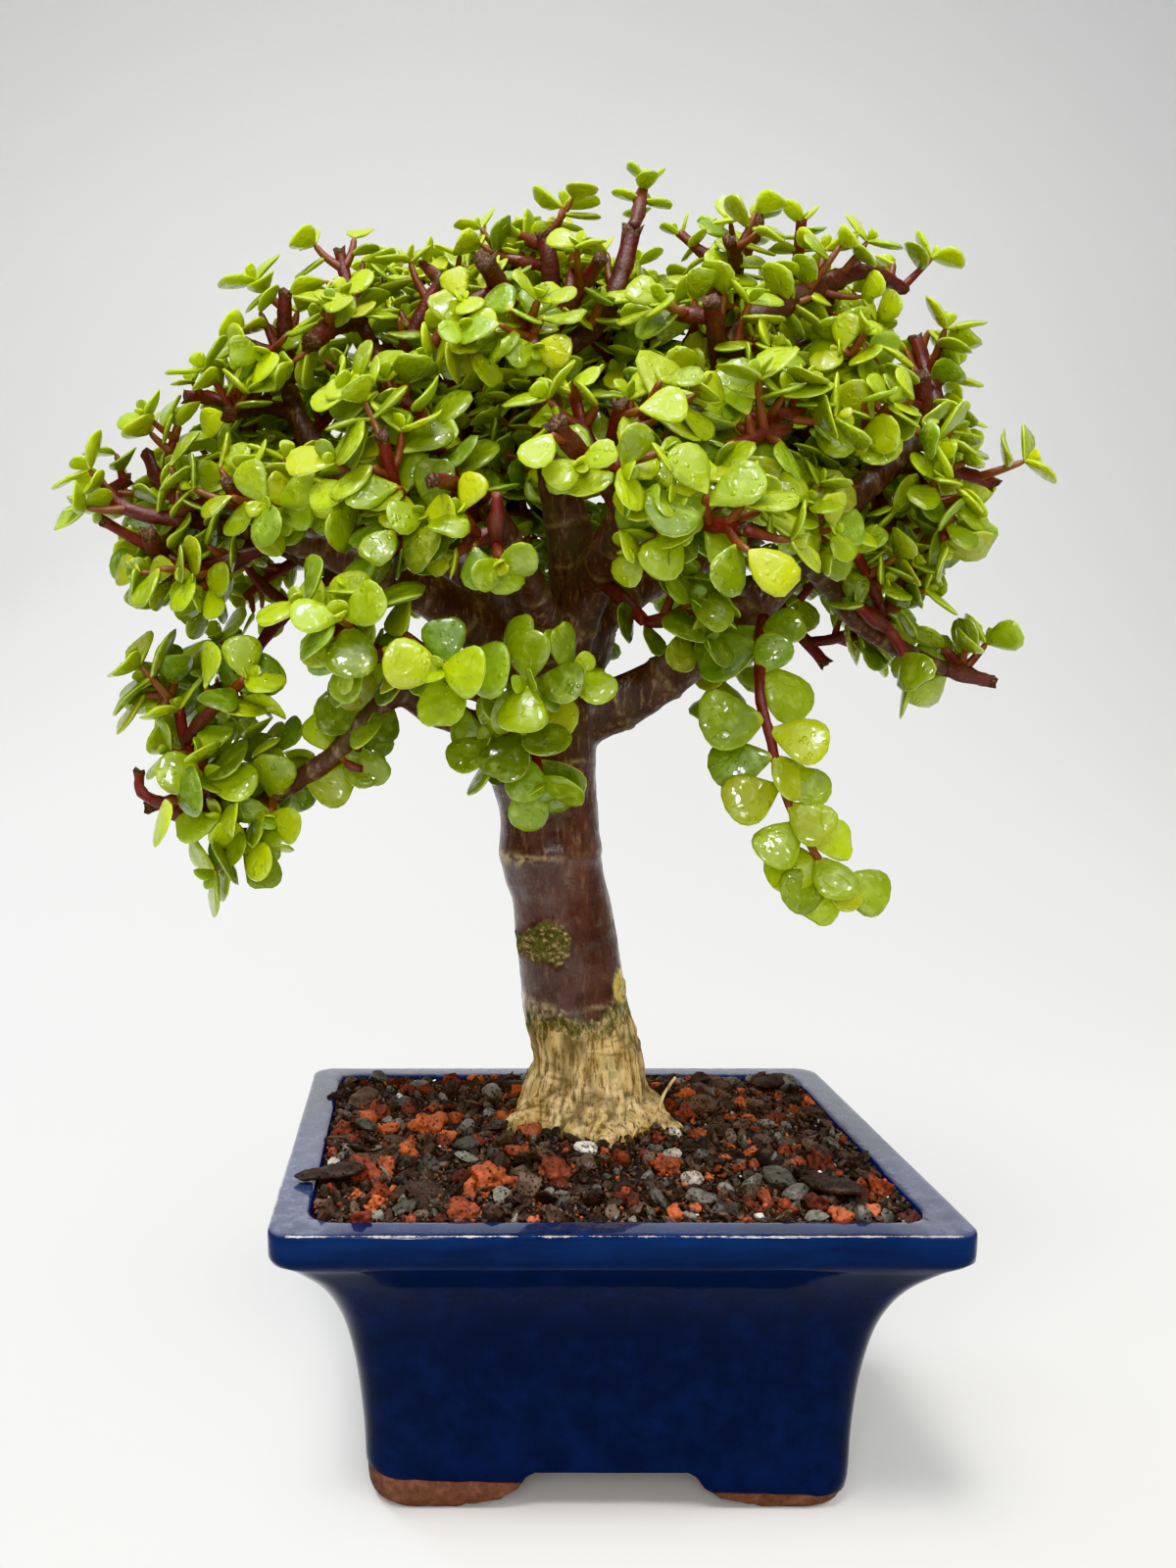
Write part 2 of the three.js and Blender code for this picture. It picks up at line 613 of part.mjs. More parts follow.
// True where a new line runs through wood that it doesn't grow from. It isn't tested inside the piece
// that it leaves, up to a distance from its start.
function crossesWood(line, ignored, leaves) {
  const start = pointOf(line[0]);
  for (let i = 1; i < line.length; i++) {
    for (const share of [0.33, 0.67, 1]) {
      const point = pointOf(line[i - 1]).lerp(pointOf(line[i]), share);
      if (point.distanceTo(start) < leaves) continue;
      for (const piece of woodPieces) {
        if (ignored.includes(piece.owner)) continue;
        if (distanceTo(point, piece) < piece.radius + line[i][3] + 1.2) return true;
      }
    }
  }
  return false;
}

const leafDiscs = [];

function discOf(blade) {
  const radius = blade.length * leaf.disc;
  const middle = blade.base.clone().addScaledVector(blade.along, blade.length * leaf.discAt);
  return { middle, radius, normal: blade.normal };
}

// True where two flat discs cut each other, or lie almost flat on each other.
function discsMeet(p, q) {
  const apart = q.middle.clone().sub(p.middle);
  const reach = p.radius + q.radius;
  if (apart.lengthSq() > reach * reach) return false;
  const line = new THREE.Vector3().crossVectors(p.normal, q.normal);
  const slope = line.length();
  const thick = leaf.thick * 0.8;
  if (slope < 0.3) {
    return Math.abs(apart.dot(p.normal)) < thick;
  }
  line.multiplyScalar(1 / slope);
  const inP = new THREE.Vector3().crossVectors(line, p.normal);
  const inQ = new THREE.Vector3().crossVectors(line, q.normal);
  const awayP = apart.dot(q.normal) / inP.dot(q.normal);
  const awayQ = -apart.dot(p.normal) / inQ.dot(p.normal);
  if (Math.abs(awayP) > p.radius || Math.abs(awayQ) > q.radius) return false;
  const halfP = Math.sqrt(p.radius * p.radius - awayP * awayP);
  const halfQ = Math.sqrt(q.radius * q.radius - awayQ * awayQ);
  return Math.abs(apart.dot(line)) < halfP + halfQ;
}

// True where a disc cuts a straight piece of wood.
function discMeetsWood(disc, piece) {
  const clear = disc.radius + piece.radius + 0.3;
  if (distanceTo(disc.middle, piece) > clear) return false;
  const heightA = piece.a.clone().sub(disc.middle).dot(disc.normal);
  const heightB = piece.b.clone().sub(disc.middle).dot(disc.normal);
  const room = piece.radius + 0.9;
  if (heightA * heightB > 0 && Math.min(Math.abs(heightA), Math.abs(heightB)) > room) return false;
  const share = heightA === heightB ? 0.5 : THREE.MathUtils.clamp(heightA / (heightA - heightB), 0, 1);
  const meet = piece.a.clone().lerp(piece.b, share);
  return meet.distanceTo(disc.middle) < disc.radius + piece.radius * 0.6;
}

function bladeFits(blade, owner) {
  const disc = discOf(blade);
  if (leafDiscs.some((other) => discsMeet(disc, other))) return false;
  if (woodPieces.some((piece) => piece.owner !== owner && discMeetsWood(disc, piece))) return false;
  leafDiscs.push(disc);
  return true;
}

// One leaf at a point of a stem: tilted out from it, with its upper face towards the stem's tip.
function placeLeaf(random, at, along, sides, azimuth, tilt, length, owner) {
  for (let attempt = 0; attempt < 6; attempt++) {
    const turn = azimuth + (attempt ? between(random, -0.7, 0.7) : between(random, -0.12, 0.12));
    const lean = tilt + (attempt ? between(random, -0.45, 0.35) : between(random, -0.1, 0.1));
    const roll = between(random, -0.25, 0.25);
    const out = sides[0].clone().multiplyScalar(Math.cos(turn)).addScaledVector(sides[1], Math.sin(turn));
    const direction = along.clone().multiplyScalar(Math.cos(lean)).addScaledVector(out, Math.sin(lean));
    const face = along.clone().multiplyScalar(Math.sin(lean)).addScaledVector(out, -Math.cos(lean));
    const across = new THREE.Vector3().crossVectors(face, direction);
    const normal = face.multiplyScalar(Math.cos(roll)).addScaledVector(across, Math.sin(roll));
    const blade = { base: at, along: direction, normal, length: length * (1 - 0.04 * attempt) };
    if (bladeFits(blade, owner)) return blade;
  }
  return null;
}

// The leaves of a short side shoot, in pairs, with the smallest pair at its tip.
function leafyShoot(random, line, owner, size) {
  const from = pointOf(line[0]);
  const tip = pointOf(line[line.length - 1]);
  const along = tip.clone().sub(from);
  const length = along.length();
  along.normalize();
  const sides = crossAxes(along);
  const pairs = Math.max(1, Math.round((length - 3) / shoot.pairGap));
  const turned = between(random, 0, Math.PI);
  const blades = [];
  for (let k = pairs; k >= 0; k--) {
    const share = 1 - (k * shoot.pairGap) / length;
    if (share < 0.25) continue;
    const whole = share * (line.length - 1);
    const i = Math.min(Math.floor(whole), line.length - 2);
    const at = pointOf(line[i]).lerp(pointOf(line[i + 1]), whole - i);
    const last = k === 0;
    const grown = size * (last ? between(random, 0.78, 0.96) : between(random, 0.86, 1.1));
    const tilt = last ? 0.95 : 1.15 + 0.08 * k;
    for (const half of [0, Math.PI]) {
      const azimuth = turned + (k % 2) * (Math.PI / 2) + half;
      const blade = placeLeaf(random, at, along, sides, azimuth, tilt, grown, owner);
      if (blade) blades.push({ ...blade, atTip: last });
    }
  }
  return blades;
}

// All stems first, then all side shoots, then all leaves, so that each kind keeps clear of the last.
function growTree() {
  const limbLines = limbs.map((limb) => smooth(limb, 3));
  limbLines.forEach((line) => addWood(line, "wood"));
  addWood(smooth(trunkLine, 1), "wood");
  const stems = [];
  const hanging = smooth(hangingTwig, 2);
  addWood(hanging, "stem0");
  stems.push({ group: 0, seed: 0, line: hanging, owner: "stem0", cut: 0, radius: 1.9 });
  const groups = [...frontTips, ...backTips()];
  const mainLines = [];
  for (let k = 0; k < backForks.length; k++) {
    groups.forEach((tips, index) => {
      if (k >= tips.length) return;
      const group = index + 1;
      const [x, y, z, radius, cut] = tips[k];
      const tip = new THREE.Vector3(x, y, z);
      const outwards = tip.clone().sub(crownMiddle).normalize();
      tip.addScaledVector(outwards, cut ? -1 : -shoot.leafyEnd);
      const seed = 100 * group + k;
      const random = makeRandom(seed);
      const start = k ? bestStart([mainLines[index]], tip, 8) : bestStart(limbLines, tip, 14);
      const owner = "stem" + seed;
      const ignored = ["wood", "stem" + 100 * group];
      const leaves = start.radius + radius + 1;
      let line = stemLine(start, tip, radius, new THREE.Vector3());
      let blocked = crossesWood(line, ignored, leaves);
      for (let attempt = 1; attempt < 24 && blocked; attempt++) {
        const bend = new THREE.Vector3();
        bend.set(between(random, -1, 1), between(random, -1, 1), between(random, -1, 1));
        line = stemLine(start, tip, radius, bend.multiplyScalar(1.5 * attempt));
        blocked = crossesWood(line, ignored, leaves);
      }
      if (k === 0) mainLines.push(line);
      if (k > 0 && blocked) return;
      addWood(line, owner);
      stems.push({ group, seed, line, owner, cut, radius, blocked });
    });
  }
  const shoots = [];
  for (const stem of stems) {
    const random = makeRandom(20000 + stem.seed);
    const end = stem.line.length - 1;
    const length = pointOf(stem.line[0]).distanceTo(pointOf(stem.line[end]));
    const long = end > 4;
    const first = long ? 0.2 : Math.max(0.3, 1 - 42 / length);
    const last = long ? 0.86 : stem.cut ? 0.78 : 0.62;
    const nodes = long ? 7 : shoot.nodes;
    const turned = between(random, 0, Math.PI);
    for (let k = 0; k < nodes; k++) {
      const whole = (first + ((last - first) * k) / (nodes - 1)) * end;
      const i = Math.min(Math.floor(whole), end - 1);
      const at = pointOf(stem.line[i]).lerp(pointOf(stem.line[i + 1]), whole - i);
      const along = directionAt([stem.line[i], stem.line[i + 1]], 0);
      const sides = crossAxes(along);
      for (const half of [0, 1]) {
        const azimuth = turned + k * (Math.PI / 2) + half * Math.PI;
        const grows = random() < (long ? 0 : shoot.share);
        const reach = grows ? between(random, shoot.short, shoot.long) : 4.5;
        const out = sides[0].clone().multiplyScalar(Math.cos(azimuth));
        out.addScaledVector(sides[1], Math.sin(azimuth));
        const away = at.clone().sub(crownMiddle).normalize();
        const way = out.clone().multiplyScalar(0.7).addScaledVector(along, 0.3);
        way.addScaledVector(up, 0.3).addScaledVector(away, 0.45).normalize();
        const tip = at.clone().addScaledVector(way, reach + stem.radius);
        const bow = at.clone().lerp(tip, 0.5).addScaledVector(out, 0.1 * reach);
        const radius = shoot.radius;
        const line = [
          [...at.toArray(), radius * 1.15],
          [...bow.toArray(), radius],
          [...tip.toArray(), radius * 0.85],
        ];
        const owner = stem.owner + "-" + k + half;
        if (crossesWood(line, [stem.owner], stem.radius + 1)) continue;
        addWood(line, owner);
        shoots.push({ stem, line, owner, grows, order: 2 * k + half });
      }
    }
    if (!stem.cut) {
      shoots.push({ stem, line: stem.line.slice(-3), owner: stem.owner, grows: true, order: 9 });
    }
  }
  for (const one of shoots) {
    const random = makeRandom(90000 + one.stem.seed * 10 + one.order);
    const rise = THREE.MathUtils.clamp((one.line[0][2] - 190) / 150, 0, 1);
    const size = leaf.length * THREE.MathUtils.lerp(leaf.low, leaf.high, rise) * between(random, 0.88, 1.12);
    one.leaves = leafyShoot(random, one.line, one.owner, size);
  }
  return { stems, shoots };
}

// ---------------------------------------------------------------- the branchlets as solids
// A leaf's corners round its rim, then its upper and lower hub: shares of length, half width, half thickness.
const leafCorners = [
  [0.56, -1, 0], [0.97, -0.42, 0], [0.97, 0.42, 0], [0.56, 1, 0], [0.58, 0, 1], [0.58, 0, -1],
];

// A three-sided twig along a line of [x, y, z, radius] that ends in a pair of opposite fleshy leaves, in one
// body. Each leaf is narrow at its base, widest beyond its middle and blunt at its tip.
function sprig(line, [first, second], extra = 0) {
  const end = line.length - 1;
  const along = directionAt(line, end);
  const sideOf = (blade) => new THREE.Vector3().crossVectors(blade.normal, blade.along);
  const side = sideOf(first).sub(sideOf(second));
  side.addScaledVector(along, -side.dot(along)).normalize();
  const out = new THREE.Vector3().crossVectors(side, along);
  const points = [];
  // rings of three: towards the first leaf, then to each side of the second leaf
  line.forEach((knot, i) => {
    const radius = Math.max(knot[3], 0.9) + extra;
    const middle = pointOf(knot);
    if (i === end) middle.addScaledVector(along, -0.6 * radius);
    for (const turn of [0, 120, 240]) {
      const point = middle.clone().addScaledVector(out, radius * Math.cos(turn * degrees));
      points.push(point.addScaledVector(side, radius * Math.sin(turn * degrees)));
    }
  });
  const triangles = [[0, 2, 1]];
  for (let ring = 0; ring < end; ring++) {
    for (let k = 0; k < 3; k++) {
      const a = 3 * ring + k;
      const b = 3 * ring + ((k + 1) % 3);
      triangles.push([a, b, a + 3], [b, b + 3, a + 3]);
    }
  }
  const neck = 3 * end;
  const crest = points.length;
  points.push(first.base.clone().addScaledVector(along, 0.8 + extra));
  for (const [blade, under, low, high] of [[first, [neck], 2, 1], [second, [], 1, 2]]) {
    const across = sideOf(blade);
    const start = points.length;
    for (const [u, v, w] of leafCorners) {
      const point = blade.base.clone().addScaledVector(blade.along, u * (blade.length + extra));
      point.addScaledVector(across, v * ((leaf.width * blade.length) / 2 + extra));
      points.push(point.addScaledVector(blade.normal, w * (leaf.thick / 2 + extra)));
    }
    const rim = [neck + low, start, start + 1, start + 2, start + 3, neck + high];
    for (const [hub, pole, flip] of [[start + 4, [crest], false], [start + 5, under, true]]) {
      const loop = [...rim, ...pole];
      loop.forEach((a, k) => {
        const b = loop[(k + 1) % loop.length];
        triangles.push(flip ? [b, a, hub] : [a, b, hub]);
      });
    }
  }
  return solidOf(points.map((point) => point.toArray()), triangles);
}

// The pair at the tip of a shoot, where both its leaves found room.
function tipPair(one) {
  const pair = one.leaves.filter((blade) => blade.atTip);
  return pair.length === 2 ? pair : null;
}

// How many side shoots of a stem its solid keeps: the outermost ones.
const keptShoots = (stem) => (stem.cut ? 2 : stem.seed % 3 === 0 ? 1 : 0);

function boxesMeet(a, b) {
  for (let n = 0; n < 3; n++) {
    if (a.min[n] > b.max[n] || b.min[n] > a.max[n]) return false;
  }
  return true;
}

const touches = (solid, others) =>
  others.some(
    (other) =>
      boxesMeet(solid.boundingBox(), other.boundingBox()) && solid.intersect(other).volume() > 1e-6,
  );

const coarse = (line) => line.filter((_, i) => i % 2 === 0);

// The stems come first, so that no leaf takes the room of another branchlet's stem.
function makeBranchlets(woodWithClearance) {
  const { stems, shoots } = growTree();
  const rooms = [];
  for (const stem of stems) {
    const others = rooms.filter((room) => room.group !== stem.group).map((room) => room.solid);
    const grown = rod(coarse(stem.line), 3).subtract(woodWithClearance);
    stem.stands = !touches(grown, others);
    if (stem.stands) rooms.push({ group: stem.group, solid: rod(coarse(stem.line), 3, 2 * seatGap) });
  }
  const made = [];
  for (let group = 0; group < 1 + Math.max(...stems.map((stem) => stem.group)); group++) {
    const pieces = [];
    const others = rooms.filter((room) => room.group !== group).map((room) => room.solid);
    const obstacles = [woodWithClearance, ...others, ...made];
    for (const stem of stems.filter((one) => one.group === group && one.stands)) {
      const line = coarse(stem.line);
      const own = shoots.filter((one) => one.stem === stem && tipPair(one));
      const ownTip = own.find((one) => one.order === 9);
      const leafy = ownTip && !touches(sprig(line.slice(1), tipPair(ownTip), seatGap), obstacles);
      pieces.push(leafy ? sprig(line, tipPair(ownTip)) : rod(line, 3));
      const far = (one) => pointOf(one.line[2]).distanceTo(crownMiddle);
      const side = own.filter((one) => one.order !== 9).sort((a, b) => far(b) - far(a));
      let left = keptShoots(stem);
      for (const one of side) {
        if (left === 0) break;
        const twig = [one.line[0], one.line[2]];
        if (touches(sprig(twig, tipPair(one), seatGap), obstacles)) continue;
        pieces.push(sprig(twig, tipPair(one)));
        left -= 1;
      }
    }
    made.push(largestBody(joined(pieces).subtract(woodWithClearance)));
  }
  return made;
}

// ---------------------------------------------------------------- the whole bonsai
const finish = (color, roughness) => new THREE.MeshStandardMaterial({ color, roughness, metalness: 0 });
const glaze = finish(0x10298f, 0.15);
const bark = finish(0x5a3226, 0.45);
const grit = finish(0x3d2c26, 0.95);
const plastic = finish(0x2b2b2b, 0.6);
const foliage = finish(0x86b72a, 0.35);

const wood = makeWood();
const woodWithClearance = makeWood(seatGap);

const bonsai = new THREE.Group();
bonsai.add(toMesh("pot", makePot(), glaze));
bonsai.add(toMesh("drain_screen_left", makeScreen(-pot.drainX), plastic));
bonsai.add(toMesh("drain_screen_right", makeScreen(pot.drainX), plastic));
bonsai.add(toMesh("soil", makeSoil(woodWithClearance), grit));
bonsai.add(toMesh("trunk_and_limbs", wood, bark));
makeBranchlets(woodWithClearance).forEach((solid, k) => {
  bonsai.add(toMesh("branchlet_" + String(k + 1).padStart(2, "0"), solid, foliage));
});

// The origin is on the ground, under the middle of the whole thing.
const bounds = new THREE.Box3().setFromObject(bonsai);
const middle = bounds.getCenter(new THREE.Vector3());
bonsai.position.set(-middle.x, -middle.y, -bounds.min.z);

const object = new THREE.Group();
object.add(bonsai);

export default object;
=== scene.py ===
import math

import bmesh
import bpy
import numpy as np
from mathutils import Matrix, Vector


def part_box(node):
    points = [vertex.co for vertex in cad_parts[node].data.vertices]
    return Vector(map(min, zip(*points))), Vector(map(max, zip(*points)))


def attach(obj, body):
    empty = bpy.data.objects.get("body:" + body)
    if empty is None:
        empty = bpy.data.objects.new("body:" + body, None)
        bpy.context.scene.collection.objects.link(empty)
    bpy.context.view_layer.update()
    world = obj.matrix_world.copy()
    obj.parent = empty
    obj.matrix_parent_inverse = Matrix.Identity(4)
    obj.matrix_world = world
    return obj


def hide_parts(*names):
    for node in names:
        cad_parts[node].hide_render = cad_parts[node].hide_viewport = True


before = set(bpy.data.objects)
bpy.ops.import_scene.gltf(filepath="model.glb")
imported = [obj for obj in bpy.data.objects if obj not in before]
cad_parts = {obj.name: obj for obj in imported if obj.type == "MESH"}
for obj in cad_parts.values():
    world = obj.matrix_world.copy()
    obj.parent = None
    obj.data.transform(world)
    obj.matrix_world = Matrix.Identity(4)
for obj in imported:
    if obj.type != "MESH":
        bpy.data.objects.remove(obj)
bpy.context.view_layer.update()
potLow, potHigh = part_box("pot")

# Every length below is in millimetres, measured from the ground under the middle of the pot.
potMiddle = np.array([(potLow.x + potHigh.x) / 2, (potLow.y + potHigh.y) / 2, 0.0])
mm = 0.001


def toFrame(points):
    # millimetres from the pot's middle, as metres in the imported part's frame
    return np.asarray(points, float) * mm + potMiddle


# the camera

view = {
    "place": [-46.8, -368, 207.5],
    "lens": 29.25,  # mm, along the picture's long side
    "sensor": 36,
    "shiftX": 0.103,
    "shiftY": -0.0575,
    "reach": [0.01, 20],  # metres to the nearest and to the farthest thing that it sees
}


def newObject(name, data):
    made = bpy.data.objects.new(name, data)
    bpy.context.scene.collection.objects.link(made)
    return made


def makeCamera():
    data = bpy.data.cameras.new("camera")
    data.lens = view["lens"]
    data.sensor_width = view["sensor"]
    data.shift_x = view["shiftX"]
    data.shift_y = view["shiftY"]
    data.clip_start, data.clip_end = view["reach"]
    made = newObject("camera", data)
    made.location = toFrame(view["place"])
    made.rotation_euler = (math.radians(90), 0, 0)
    bpy.context.scene.camera = made


# repeatable random numbers, and smooth noise


def makeRandom(seed):
    # numbers from 0 to 1 that depend on the seed alone
    state = [seed & 0xFFFFFFFF]

    def draw():
        state[0] = (state[0] * 1664525 + 1013904223) & 0xFFFFFFFF
        return state[0] / 4294967296

    return draw


def between(random, low, high):
    return low + (high - low) * random()


def cornerValue(corner, seed):
    # a fixed random number from -1 to 1 for each whole-number corner
    h = corner[..., 0] * 374761393 + corner[..., 1] * 668265263 + corner[..., 2] * 2147483629
    h = h + seed * 974634777
    h = (h ^ (h >> 13)) * 1274126177 & 0xFFFFFFFF
    h = (h ^ (h >> 16)) * 2246822519 & 0xFFFFFFFF
    return (h ^ (h >> 15)) / 2147483648 - 1


def noise(points, size, seed=0):
    # smooth noise from -1 to 1, blended from the corner values of a lattice
    cell = np.asarray(points, float) / size
    low = np.floor(cell).astype(np.int64)
    share = cell - low
    share = share * share * (3 - 2 * share)
    total = 0
    for dx in (0, 1):
        for dy in (0, 1):
            for dz in (0, 1):
                step = np.array([dx, dy, dz])
                weight = np.prod(np.where(step == 1, share, 1 - share), axis=-1)
                total = total + weight * cornerValue(low + step, seed)
    return total


# small geometry helpers


def unit(vector):
    vector = np.asarray(vector, float)
    return vector / np.linalg.norm(vector, axis=-1, keepdims=True)


def crossAxes(along):
    # two directions at right angles to a direction, and to each other
    helper = np.array([0.0, 0.0, 1.0]) if abs(along[2]) < 0.9 else np.array([1.0, 0.0, 0.0])
    side = unit(np.cross(helper, along))
    return side, np.cross(along, side)


def outwards(sides, azimuth):
    # the direction at an angle round a stem
    return sides[0] * math.cos(azimuth) + sides[1] * math.sin(azimuth)


def directionAt(line, i):
    low, high = max(i - 1, 0), min(i + 1, len(line) - 1)
    return unit(line[high][:3] - line[low][:3])


def smooth(knots, cuts):
    # a Catmull-Rom line through knots of x, y, z and radius
    knots = np.asarray(knots, float)
    padded = np.concatenate([knots[:1], knots, knots[-1:]])
    a, b, c, d = padded[:-3, None], padded[1:-2, None], padded[2:-1, None], padded[3:, None]
    t = (np.arange(cuts) / cuts)[None, :, None]
    line = b + 0.5 * ((c - a) * t + (2 * a - 5 * b + 4 * c - d) * t**2 + (3 * b - a - 3 * c + d) * t**3)
    return np.concatenate([line.reshape(-1, knots.shape[1]), knots[-1:]])


def pointAt(line, whole):
    # the point at a knot's number, or between two, and the line's direction there
    i = min(math.floor(whole), len(line) - 2)
    step = line[i + 1, :3] - line[i, :3]
    return line[i, :3] + step * (whole - i), unit(step)


def spanOf(line):
    return float(np.linalg.norm(line[-1, :3] - line[0, :3]))


def lengthsOf(line):
    # the length of a line as far as each of its knots
    return np.concatenate([[0], np.cumsum(np.linalg.norm(np.diff(line[:, :3], axis=0), axis=1))])


def gridFaces(rows, columns, closed=True):
    # quads of a grid of points, row after row
    across = columns if closed else columns - 1
    row, column = np.meshgrid(np.arange(rows - 1), np.arange(across), indexing="ij")
    right = (column + 1) % columns
    corners = [row * columns + column, row * columns + right, (row + 1) * columns + right]
    return np.stack([*corners, (row + 1) * columns + column], axis=-1).reshape(-1, 4)


def fanFaces(ring, middle, flip=False):
    # triangles from a ring of points to a middle point
    around = np.roll(ring, -1)
    order = [around, ring] if flip else [ring, around]
    return np.stack([*order, np.full(len(ring), middle)], axis=-1)


def capFaces(rows, columns):
    # triangles from both ends of a grid to the two points after its own
    ring = np.arange(columns)
    last = (rows - 1) * columns
    ends = [fanFaces(ring, rows * columns, flip=True), fanFaces(ring + last, rows * columns + 1)]
    return np.concatenate(ends)


def tube(line, sides, spread=None):
    # a closed tube round a line: its points, quads, triangles and the share along it; spread
    # (knots x sides) scales the radius
    line = np.asarray(line, float)
    count = len(line)
    along = np.array([directionAt(line, i) for i in range(count)])
    side = np.empty((count, 3))
    side[0] = crossAxes(along[0])[0]
    for i in range(1, count):
        carried = side[i - 1] - along[i] * (side[i - 1] @ along[i])
        side[i] = carried / np.linalg.norm(carried)
    across = np.cross(along, side)
    angle = 2 * np.pi * (np.arange(sides) + 0.5) / sides
    reach = line[:, 3, None] * (1 if spread is None else spread)
    ring = line[:, None, :3] + reach[..., None] * (
        side[:, None] * np.cos(angle)[None, :, None] + across[:, None] * np.sin(angle)[None, :, None]
    )
    points = np.concatenate([ring.reshape(-1, 3), line[:1, :3], line[-1:, :3]])
    share = np.concatenate([np.repeat(np.arange(count) / (count - 1), sides), [0, 1]])
    return points, gridFaces(count, sides), capFaces(count, sides), share


def joinParts(parts):
    # several (points, quads, triangles, values) as one, with the corner numbers moved on
    firsts = np.cumsum([0] + [len(part[0]) for part in parts[:-1]])
    points = np.concatenate([part[0] for part in parts])
    quads = np.concatenate([part[1] + first for part, first in zip(parts, firsts)])
    triangles = np.concatenate([part[2] + first for part, first in zip(parts, firsts)])
    return points, quads, triangles, np.concatenate([part[3] for part in parts])


def addValues(mesh, values):
    for label, numbers in values.items():
        attribute = mesh.attributes.new(label, "FLOAT", "POINT")
        attribute.data.foreach_set("value", np.asarray(numbers, np.float32))


def readRows(items, label, width, kind=np.float32):
    # one property of all the points, edges or corners of a mesh
    flat = np.empty(len(items) * width, kind)
    items.foreach_get(label, flat)
    return flat.reshape(-1, width)


def finalMesh(thing):
    # a copy of an object's mesh with its modifiers applied
    return bpy.data.meshes.new_from_object(thing.evaluated_get(bpy.context.evaluated_depsgraph_get()))


def newMesh(name, points, quads, triangles=(), values=None):
    # a mesh from arrays of points, quads and triangles
    quads = np.asarray(quads, np.int32).reshape(-1, 4)
    triangles = np.asarray(triangles, np.int32).reshape(-1, 3)
    corners = np.concatenate([quads.ravel(), triangles.ravel()])
    starts = np.concatenate([4 * np.arange(len(quads)), 4 * len(quads) + 3 * np.arange(len(triangles))])
    mesh = bpy.data.meshes.new(name)
    mesh.vertices.add(len(points))
    mesh.vertices.foreach_set("co", toFrame(points).astype(np.float32).ravel())
    mesh.loops.add(len(corners))
    mesh.loops.foreach_set("vertex_index", corners)
    mesh.polygons.add(len(starts))
    mesh.polygons.foreach_set("loop_start", starts.astype(np.int32))
    mesh.polygons.foreach_set("use_smooth", np.ones(len(starts), bool))
    mesh.update(calc_edges=True)
    addValues(mesh, values or {})
    return mesh


def newPiece(name, mesh, material, slot, *nodes):
    # an object for a finished mesh, which stands for these CAD nodes
    made = newObject(name, mesh)
    if material:
        mesh.materials.append(material)
    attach(made, "root")
    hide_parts(*nodes)
    return made


# the tree's plan: the same lines that its solids follow

trunkLine = [
    [3, 17, 54, 9], [3, 17, 66, 17], [2.6, 17, 77, 23.5], [2.1, 17, 82, 23], [1.5, 17, 88, 19.4],
    [2.1, 17, 98.5, 16.6], [-1.5, 17, 111, 16], [-2.7, 17, 119.3, 15.6], [-5, 17, 135.8, 15.3],
    [-6.8, 17, 148.3, 14.6], [-9.2, 17, 158, 15.4], [-10.1, 17, 173.1, 15], [-12, 17, 187, 16.4],
    [-11.5, 17, 200, 16], [-9, 17, 212, 12.5], [-7, 17, 219, 8],
]
roots = [
    [[0, 14, 86, 8], [-12, 9, 83, 6.5], [-21, 4, 79.5, 4.6], [-27, 1, 72, 3]],
    [[4, 14, 86, 8], [16, 9, 82.5, 6], [24.5, 4, 79.5, 4.4], [30, 1, 72, 2.8]],
    [[2, 10, 85, 8], [3, -2, 82, 5.6], [4, -10, 78, 4], [4, -15, 71, 2.6]],
    [[4, 20, 86, 8], [14, 32, 82, 5.6], [20, 40, 78, 4], [23, 45, 71, 2.6]],
    [[0, 20, 86, 8], [-10, 32, 82, 5.6], [-16, 39, 78, 4], [-19, 44, 71, 2.6]],
]
